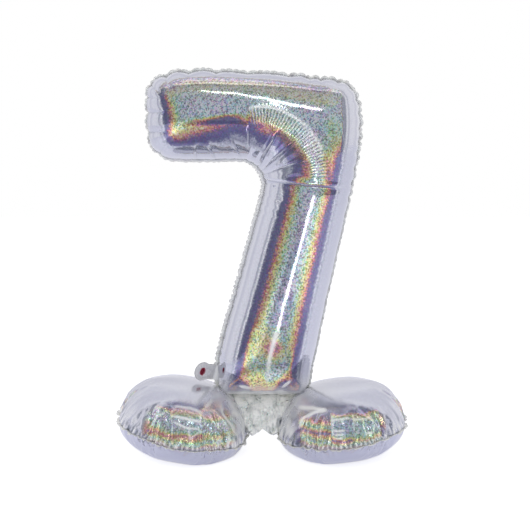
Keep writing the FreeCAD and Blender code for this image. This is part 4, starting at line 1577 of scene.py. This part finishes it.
# %% Upper and lower film of a foot
def finish_top(sheet, side, foot, flat_edge, wrinkles, film):
    """Small wrinkles, creases, colours and gleam of a foot's upper sheet."""
    spot, flat, free = film
    run, index, into = flat_edge.nearest(flat)
    outward = away_from(spot - [foot["x"], 0, FOOT_SEAM_Z], foot)
    lift = edge_lift(wrinkles, run, index, into)
    natural = colour_place(outward, FOOT_FACING, FOOT_SPREAD)
    upright = eased(np.abs(spot[:, 1]), *UPRIGHT)
    creases, wanted, gleam, plain = foot_finish(spot[:, 0], spot[:, 1], spot[:, 2], FOOT_PLANS[side])
    spot += outward * ((lift + creases) * free * (1 - near_waist(spot, 58, 95)))[:, None]
    wave, _ = puffs(wrinkles[0], run)
    gleam += foot_gleam(spot, foot, run, into, wave)
    set_points(sheet, spot)
    # the creased film's own slope is taken out, so that the colours stay where they are wanted
    creased_place = colour_place(slopes_of(sheet), FOOT_FACING, FOOT_SPREAD)
    paint(sheet, gleam=gleam, plain=np.maximum(plain, 0.75 * np.exp(-(into / 15) ** 4)),
          crush=0.9 * np.exp(-(into / 20) ** 2) + 0.06,
          phase=(wanted - 0.8 * creased_place - 0.2 * natural) * upright)
    sheet.data.materials.append(foot_foil)


def finish_bottom(sheet, flat_edge, film):
    """Gleam and crushed edge of a foot's lower sheet."""
    spot, flat, _ = film
    _, _, into = flat_edge.nearest(flat)
    # painted light and dulling beside the waist
    paint(sheet, gleam=0.4 * near_waist(spot, 58, 95), crush=0.9 * np.exp(-(into / 20) ** 2) + 0.06)
    set_points(sheet, spot)
    sheet.data.materials.append(foot_sole_foil)


# %% [markdown]
# The cut is a little larger than the foot needs, because inflating draws the rim in. The two
# feet get slightly different air, as two real ones do. Air fills almost all of a foot.


# %% The feet
PILLOW_GROWTH = (1.10, 1.05)
PRESSURE, PANEL_SEED, WRINKLE_SEED = {"left": 24, "right": 26}, {"left": 61, "right": 64}, 62
foot_edges = {}
for side, foot in FEET.items():
    top, bottom, faces, rim, cut = blown_pillow(
        foot["half_width"] * PILLOW_GROWTH[0], foot["half_depth"] * PILLOW_GROWTH[1], PILLOW_HEIGHT,
        FOOT_SPACING, PRESSURE[side])
    size = np.abs(top[:, 0]).max(), np.abs(top[:, 1]).max(), top[:, 2].max(), -bottom[:, 2].min()
    print(side, "pillow before setting %.0f x %.0f, up %.0f, down %.0f mm" % size)
    flat_edge = Edge(cut[:rim])
    panels = edge_folds(flat_edge, FOOT_PANELS, USUAL_PANEL, PANEL_SEED[side])
    wrinkles = edge_folds(flat_edge, FOOT_WRINKLES, USUAL_WRINKLE, WRINKLE_SEED)
    run, index, into = flat_edge.nearest(cut)
    into[:rim] = 0
    for level, points in (("top", top), ("bottom", bottom)):
        placed = placed_foot(points, foot, level == "top", size,
                             lambda shorter: edge_lift(panels, run, index, into * shorter), rim)
        sheet = mesh_object("%s_foot_%s_foil" % (side, level), placed,
                            faces if level == "top" else faces[:, ::-1], np.c_[run, into])
        film = split_film(sheet, cut, rim)
        if level == "top":
            foot_edges[side] = placed[:rim]
            finish_top(sheet, side, foot, flat_edge, wrinkles, film)
        else:
            finish_bottom(sheet, flat_edge, film)
        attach(sheet, "base")
        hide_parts("%s_foot_%s_film" % (side, level))
    print(side, "foot sheets", len(sheet.data.polygons))

# %% [markdown]
# Each foot's weld is the same band as the number's, laid level round the foot. Its rim points
# are unevenly spaced, so they are first laid out again 2 mm apart.


# %% Foot sealed edges
for side, base in foot_edges.items():
    loop = np.vstack([base, base[:1]])
    run = running_length(loop)
    at = np.linspace(0, run[-1], int(run[-1] / 2), endpoint=False)
    fine = np.stack([np.interp(at, run, loop[:, k]) for k in range(3)], 1)
    ahead = np.roll(fine, -4, axis=0) - np.roll(fine, 4, axis=0)
    out = np.c_[ahead[:, 1], -ahead[:, 0], np.zeros(len(ahead))]
    out /= np.linalg.norm(out, axis=1)[:, None]
    ring = sealed_edge("%s_foot_heat_seal" % side, fine, out, 0.2 * wander(run[-1], at, 12, 41),
                       1.6 * wander(run[-1], at, 18, 42), WELD_WIDTH)
    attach(ring, "base")
    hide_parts("%s_foot_seam" % side)
    print(side, "foot seal", len(ring.data.polygons))


# %% [markdown]
# ## The waist
# Between the feet the film is gathered into a short neck that carries the number. It is
# crushed foil: flat facets that meet in hard creases, so its surface is folded by a sum of
# sharp-edged waves in random directions, and it is cut away where it enters the feet. Its
# underside is drawn up into an open arch between them.


# %% Form of the waist
# height, half width and half depth in mm, from the number down
WAIST = np.array([
    (106.5, 66, 2.0), (103.0, 68, 7), (97, 67, 17), (85, 63, 31), (66, 55, 43), (46, 44, 46),
    (34, 31, 39), (27, 16, 22), (25, 4, 6)], float)
WAIST_ROWS, WAIST_COLUMNS = 90, 150
ARCH_TOP, ARCH_SLOPE = 52.0, 0.95
FOOT_TUCK = 0.93    # how far into the feet the waist's film runs on, 1 being their own film


def waist_film(side):
    """Points of one half of the gathered neck, and the height of its facets and fine crumples, in mm."""
    knots = running_length(WAIST)
    levels = smooth_through(knots, WAIST, np.linspace(0, knots[-1], WAIST_ROWS))
    turn = np.linspace(0, math.pi, WAIST_COLUMNS)
    x = WAIST_X + levels[:, 1:2] * np.cos(turn)[None, :]
    y = side * levels[:, 2:3] * np.sin(turn)[None, :]
    z = np.broadcast_to(levels[:, 0:1], x.shape)
    points = np.c_[x.ravel(), y.ravel(), z.ravel()]
    open_share = np.clip((106 - points[:, 2]) / 22, 0, 1)
    away = np.c_[(points[:, 0] - WAIST_X) / 2000, points[:, 1] / 1000, np.zeros(len(points))]
    away[:, 1] += side * 1e-4
    away /= np.linalg.norm(away, axis=1)[:, None]
    facets, fine = crumple(points, 22, 7.5, 51, 5), crumple(points, 8, 2.4, 52, 5)
    points = points + away * ((facets + fine) * open_share)[:, None]
    arch = ARCH_TOP - ARCH_SLOPE * np.abs(points[:, 0] - WAIST_X)
    points[:, 2] = np.maximum(points[:, 2], arch)
    return points, np.broadcast_to(turn[None, :] * 60, x.shape).ravel(), facets, fine


print("waist %.0f mm high" % (WAIST[0, 0] - WAIST[-1, 0]))

# %% [markdown]
# The waist stands between the feet, which stay on the floor, and the number, which leans.


# %% Waist sheets
LEAN_BLEND = (0.002, 0, 0.092), (0.002, 0, 0.112)    # metres: two points just under the number


def waist_sheet(name, side):
    """One half of the gathered neck, side -1 in front and 1 behind."""
    points, run, facets, fine = waist_film(side)
    faces = grid_faces(WAIST_ROWS, WAIST_COLUMNS, side > 0)
    keep = np.ones(len(points), bool)
    for foot in FEET.values():
        keep &= inside_foot(points, foot) > FOOT_TUCK
    faces = faces[keep[faces].all(1)]
    used = np.unique(faces)
    index = np.full(len(points), -1)
    index[used] = np.arange(len(used))
    film = np.c_[run, points[:, 2]][used]
    piece = mesh_object(name, points[used], index[faces], film, np.full(len(used), 0.4))
    # painted light and shade: facets lighter or darker by their height, painted highlights on some creases
    # and painted shade on others, over film dulled pale
    lines = np.maximum(creased(points, 22, 51, 5, 0.05), 0.8 * creased(points, 8, 52, 5, 0.08))
    lines = lines - 0.6 * creased(points, 13, 53, 5, 0.04)
    paint(piece, gleam=np.clip(0.42 + 0.09 * facets + 0.14 * fine + 0.8 * lines, -0.3, 1)[used])
    piece.data.materials.append(waist_foil)
    return piece


for side, name, node in ((-1, "waist_front_foil", "waist_front_film"),
                         (1, "waist_back_foil", "waist_back_film")):
    sheet = waist_sheet(name, side)
    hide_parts(node)
    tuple(LEAN_BLEND[0])
    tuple(LEAN_BLEND[1])
    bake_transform(sheet)
    print(name, len(sheet.data.polygons))

# %% [markdown]
# ## The filling tail
# A tongue of the same two sheets stands out of the stem's edge, with the hole for the pump in
# its front sheet and a ring of release ink round it. The sheets run on past the fold into the
# sealed edge of the number, so they bend where the tail swings. Each sheet is a net of rings
# from the hole out to the edge, with puckers along the weld.


# %% Tail layout
TAIL_ROOT = np.array([-90.0, 0.0, 150.0])
TAIL_RISE, TAIL_SWING = math.radians(14), math.radians(38)
NECK_HALF, LOBE_U, LOBE_RADIUS, NECK_START = 15.0, 28.0, 18.0, -12.0
INLET = np.array([29.0, 0.0])
INLET_HALF, MARK_HALF = np.array([4.5, 6.0]), np.array([6.5, 8.5])


def tail_place(u, v, w):
    """Carries the tail's flat layout to its place: u along it, v up and w behind it, in mm."""
    along = np.array([-math.cos(TAIL_RISE), 0, math.sin(TAIL_RISE)])
    up = np.array([math.sin(TAIL_RISE), 0, math.cos(TAIL_RISE)])
    back = np.array([0, 1.0, 0])
    swung = along * math.cos(TAIL_SWING) - back * math.sin(TAIL_SWING)
    behind = along * math.sin(TAIL_SWING) + back * math.cos(TAIL_SWING)
    flat = u[:, None] * along + w[:, None] * back
    turned = u[:, None] * swung + w[:, None] * behind
    share = eased(u, -2, 2)[:, None]
    return TAIL_ROOT + v[:, None] * up + flat * (1 - share) + turned * share


def tail_outline(turn):
    """The edge of the tail seen from the hole, by direction."""
    ways = np.c_[np.cos(turn), np.sin(turn)]
    far = np.arange(4, 62, 0.25)
    u, v = INLET[0] + ways[:, :1] * far, INLET[1] + ways[:, 1:] * far
    in_lobe = (u - LOBE_U) ** 2 + v ** 2 < LOBE_RADIUS ** 2
    in_neck = (np.abs(v) < NECK_HALF) & (u > NECK_START) & (u < LOBE_U)
    return INLET + ways * far[(in_lobe | in_neck).sum(1) - 1][:, None]


def tail_puff(u, v, share):
    """How far each sheet stands off the middle of the tail, in mm."""
    dents = 0.35 * np.sin(0.9 * u + 1.7 * np.sin(0.35 * v)) + 0.25 * np.sin(0.8 * v - 0.5 * u)
    return 1.15 + np.sin(math.pi * share ** 0.8) ** 2 * (0.9 + dents) * eased(u, 0, 6)


tail_silver = foil("plain_aluminised_nylon_tail", NUMBER_FACING, grating=0.12, crush=0.8,
                   haze=(0.16, 0.2), silver=("C9CAD6", "CFD0DA"))
print("tail material", tail_silver.name)

# %% [markdown]
# The tail is small and seen from close by when it is filled, so each sheet gets a real thickness
# and a wall at its hole. The front sheet's hole is the size of a pump's nozzle. Behind, where
# there is none, the rings close on a point.


# %% Tail sheets
TAIL_STEPS, TAIL_RINGS = 144, 22
TAIL_TURN = np.linspace(0, 2 * math.pi, TAIL_STEPS, endpoint=False)
TAIL_WAYS = np.c_[np.cos(TAIL_TURN), np.sin(TAIL_TURN)]
SKIN_OUT, SKIN_IN = 0.25, -0.05    # mm off the middle of a sheet


def ring_net(rings, flip):
    """Quads between closed rings of points."""
    quads = []
    for k in range(rings - 1):
        a = k * TAIL_STEPS + np.arange(TAIL_STEPS)
        b = k * TAIL_STEPS + (np.arange(TAIL_STEPS) + 1) % TAIL_STEPS
        quads.append(np.c_[a, b, b + TAIL_STEPS, a + TAIL_STEPS])
    quads = np.vstack(quads)
    return quads[:, ::-1] if flip else quads


def face_outwards(piece):
    """Turns every face of a closed piece outwards."""
    bpy.ops.object.select_all(action="DESELECT")
    bpy.context.view_layer.objects.active = piece
    piece.select_set(True)
    bpy.ops.object.mode_set(mode="EDIT")
    bpy.ops.mesh.select_all(action="SELECT")
    bpy.ops.mesh.normals_make_consistent(inside=False)
    bpy.ops.object.mode_set(mode="OBJECT")
    piece.select_set(False)


def tail_sheet(name, side):
    """One sheet of the tail as a thin closed skin, side -1 in front and 1 behind."""
    hole = INLET + TAIL_WAYS * (INLET_HALF if side < 0 else 0.02)
    edge = tail_outline(TAIL_TURN)
    shares = np.linspace(0, 1, TAIL_RINGS)
    layout = np.vstack([hole * (1 - t) + edge * t for t in shares])
    share = np.repeat(shares, TAIL_STEPS)
    off = tail_puff(layout[:, 0], layout[:, 1], share)
    faces = ring_net(TAIL_RINGS, side < 0)
    outer_skin = tail_place(layout[:, 0], layout[:, 1], side * (off + SKIN_OUT))
    inner_skin = tail_place(layout[:, 0], layout[:, 1], side * (off + SKIN_IN))
    n = len(layout)
    first, last = np.arange(TAIL_STEPS), n - TAIL_STEPS + np.arange(TAIL_STEPS)
    walls = np.vstack([np.c_[first, first + n, np.roll(first, -1) + n, np.roll(first, -1)],
                       np.c_[np.roll(last, -1), np.roll(last, -1) + n, last + n, last]])
    faces = np.vstack([faces, faces[:, ::-1] + n, walls if side < 0 else walls[:, ::-1]])
    film = np.c_[np.arctan2(layout[:, 1], layout[:, 0] - INLET[0]) * 20, share * 20]
    crush = 0.3 + 0.7 * np.exp(-((1 - share) / 0.12) ** 2)
    piece = mesh_object(name, np.vstack([outer_skin, inner_skin]), faces, np.vstack([film, film]),
                        np.tile(crush, 2))
    # painted light: the tail's film is painted paler and dulled, with a painted bright ring near its edge
    rim = np.exp(-((share - 0.80) / 0.05) ** 2)
    paint(piece, gleam=np.tile(0.75 + 0.25 * rim, 2))
    face_outwards(piece)
    piece.data.materials.append(tail_silver)
    return piece


FOLD_BEFORE, FOLD_AFTER = (tail_place(np.array([u]), np.zeros(1), np.zeros(1))[0] * MM
                           for u in (-1.5, 1.5))
for side, name, node in ((-1, "tail_front_foil", "tail_front_film"), (1, "tail_back_foil", "tail_back_film")):
    sheet = tail_sheet(name, side)
    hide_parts(node)
    tuple(FOLD_BEFORE)
    tuple(FOLD_AFTER)
    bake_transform(sheet)
    print(name, len(sheet.data.polygons))

# %% [markdown]
# The weld round the tail is a narrow crinkled band: four points across, carried round the lobe
# from one side of the neck to the other. The crinkle only shows on its free rim.


# %% Tail edge
WELD_IN, WELD_OUT = (-3.2, 1.2), (0.2, 0.9)    # mm: reach from the tail's outline, and half height
edge = tail_outline(TAIL_TURN)
edge = edge[edge[:, 0] > 1.5]
edge = edge[np.argsort(np.arctan2(edge[:, 1], edge[:, 0] - 8))]
out = edge - [14, 0]
out /= np.linalg.norm(out, axis=1)[:, None]
crinkle = 0.35 * np.sin(np.arange(len(edge)) * 1.1)
weld = []
for (reach, half), face in ((WELD_IN, 1), (WELD_OUT, 1), (WELD_OUT, -1), (WELD_IN, -1)):
    rim = edge + out * (reach + crinkle * (reach > 0))[:, None]
    weld.append(tail_place(rim[:, 0], rim[:, 1], np.full(len(edge), half * face)))
points = np.stack(weld, 1).reshape(-1, 3)
m, faces = len(edge), []
for i in range(m - 1):
    faces += [[i * 4 + k, i * 4 + (k + 1) % 4, (i + 1) * 4 + (k + 1) % 4, (i + 1) * 4 + k]
              for k in range(4)]
faces += [[3, 2, 1, 0], [4 * m - 4, 4 * m - 3, 4 * m - 2, 4 * m - 1]]
film = np.c_[np.repeat(np.arange(m) * 0.8, 4), np.tile([3, 0, 0, 3], m)]
tail_weld = mesh_object("tail_heat_seal", points, faces, film, np.full(4 * m, 0.9))
tail_weld.data.materials.append(seal_foil)
print("tail edge", len(tail_weld.data.polygons))

# %% [markdown]
# Release ink keeps the sheets from welding together round the hole while the rest is sealed. It
# is a printed ring, dark red at the hole and paler at its rim, where the ink was wiped thin. The
# red goes by the distance across the ring, moved by a blotchy noise, as a worn print does.


# %% Release ink
ink, tree, skin, place = new_material("printed_red_release_ink")
across = add_node(tree, "Attribute", attribute_name="across")
blotch = add_node(tree, "TexNoise", {"Vector": place.outputs["Object"], "Scale": 400.0, "Detail": 2.0})
worn = add_node(tree, "MapRange", {0: blotch.outputs["Fac"], 3: -0.25, 4: 0.25})
worn = add_node(tree, "Math", {0: across.outputs["Fac"], 1: worn}, operation="ADD")
# from wet red at the hole to the pink of ink wiped thin
red = set_ramp(add_node(tree, "ValToRGB", {0: worn}),
               [(0.0, linear("8C1030")), (0.55, linear("A51F42")), (0.95, linear("E3A9BC"))])
tree.links.new(red.outputs[0], skin.inputs["Base Color"])
# dried ink is duller than the film round it, and unevenly so
dry = add_node(tree, "MapRange", {0: blotch.outputs["Fac"], 3: 0.3, 4: 0.5})
tree.links.new(dry.outputs[0], skin.inputs["Roughness"])
print("ink", ink.name)

# %% Ink ring
# share of the way across the ring, and mm over the tail's front film
INK_PROFILE = [(0.0, -0.1), (0.0, 0.12), (0.35, 0.16), (0.7, 0.16), (1.0, 0.12), (1.0, -0.1)]
INK_BASE = 1.55
rings = []
for share, rise in INK_PROFILE:
    oval = INLET + TAIL_WAYS * (INLET_HALF * (1 - share) + MARK_HALF * share)
    rings.append(tail_place(oval[:, 0], oval[:, 1], -(INK_BASE + rise) * np.ones(TAIL_STEPS)))
here = np.arange(TAIL_STEPS)
following = (here + 1) % TAIL_STEPS
last = (len(INK_PROFILE) - 1) * TAIL_STEPS
underside = np.c_[last + here, last + following, following, here][:, ::-1]
ring_faces = np.vstack([ring_net(len(INK_PROFILE), True), underside])
ring = mesh_object("inlet_ink_ring", np.vstack(rings), ring_faces)
paint(ring, across=np.repeat([share for share, _ in INK_PROFILE], TAIL_STEPS))
ring.data.materials.append(ink)
for piece, node, slot in ((tail_weld, "tail_seam", "foil_weld"), (ring, "inlet_mark", "valve_ink")):
    face_outwards(piece)
    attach(piece, "tail")
    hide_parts(node)
print("ink ring", len(ring.data.polygons))

# %% [markdown]
# ## The valve
# The self-sealing valve is a flat sleeve of clear film inside the number. It keeps its CAD
# shape and only gets its material: slightly milky polyethylene, blown and left glossy, with
# fine lines where the roller pulled it. The part that shows through the hole is inked too.


# %% Valve film
def inked_oval(tree, place, colour):
    """The film's colour with the ink that went through the filling hole laid over it."""
    middle = tail_place(INLET[:1], INLET[1:], np.zeros(1))[0] * MM
    shift = add_node(tree, "VectorMath", {0: place.outputs["Object"], 1: tuple(middle)}, operation="DISTANCE")
    far = add_node(tree, "Math", {0: shift.outputs["Value"], 1: 100.0}, operation="MULTIPLY")
    oval = set_ramp(add_node(tree, "ValToRGB", {0: far}),
                    [(0.70, linear("7E0C28")), (0.80, linear("B5506C"))])
    fade = add_node(tree, "Math", {0: shift.outputs["Value"], 1: 0.0085}, operation="LESS_THAN")
    return add_node(tree, "Mix", {"Factor": fade, 6: colour, 7: oval}, data_type="RGBA").outputs[2]


def valve_film(name, inked):
    """Milky polyethylene; inked paints the oval that lies under the filling hole."""
    made, tree, skin, place = new_material(name)
    # drawn lines run across the sleeve, finer one way than the other
    drawn = add_node(tree, "Mapping", {"Vector": place.outputs["Object"], "Scale": (300.0, 300.0, 1600.0)})
    lines = add_node(tree, "TexNoise", {"Vector": drawn, "Scale": 1.0, "Detail": 2.0})
    tone = set_ramp(add_node(tree, "ValToRGB", {0: lines.outputs["Fac"]}),
                    [(0.3, linear("DDDFE4")), (0.7, linear("ECEDF0"))])
    colour = inked_oval(tree, place, tone.outputs[0]) if inked else tone.outputs[0]
    tree.links.new(colour, skin.inputs["Base Color"])
    gloss = add_node(tree, "MapRange", {0: lines.outputs["Fac"], 3: 0.18, 4: 0.32})
    tree.links.new(gloss.outputs[0], skin.inputs["Roughness"])
    ripple = add_node(tree, "Bump", {"Height": lines.outputs["Fac"], "Strength": 0.4, "Distance": 0.0001})
    tree.links.new(ripple.outputs[0], skin.inputs["Normal"])
    return made


clear_valve = valve_film("blown_polyethylene_valve_film", False)
inked_valve = valve_film("inked_polyethylene_valve_film", True)
VALVE_PIECES = ("valve_front_ply", "valve_back_ply", "valve_side_welds", "tail_valve_front_ply",
                "tail_valve_back_ply")
for node in VALVE_PIECES:
    for slot in bpy.data.objects[node].material_slots:
        slot.material = inked_valve if node.startswith("tail") else clear_valve
print("valve pieces", len(VALVE_PIECES))

# %% [markdown]
# ## Sizes
# The scene is brought up to date.


# %% Sizes
bpy.context.view_layer.update()
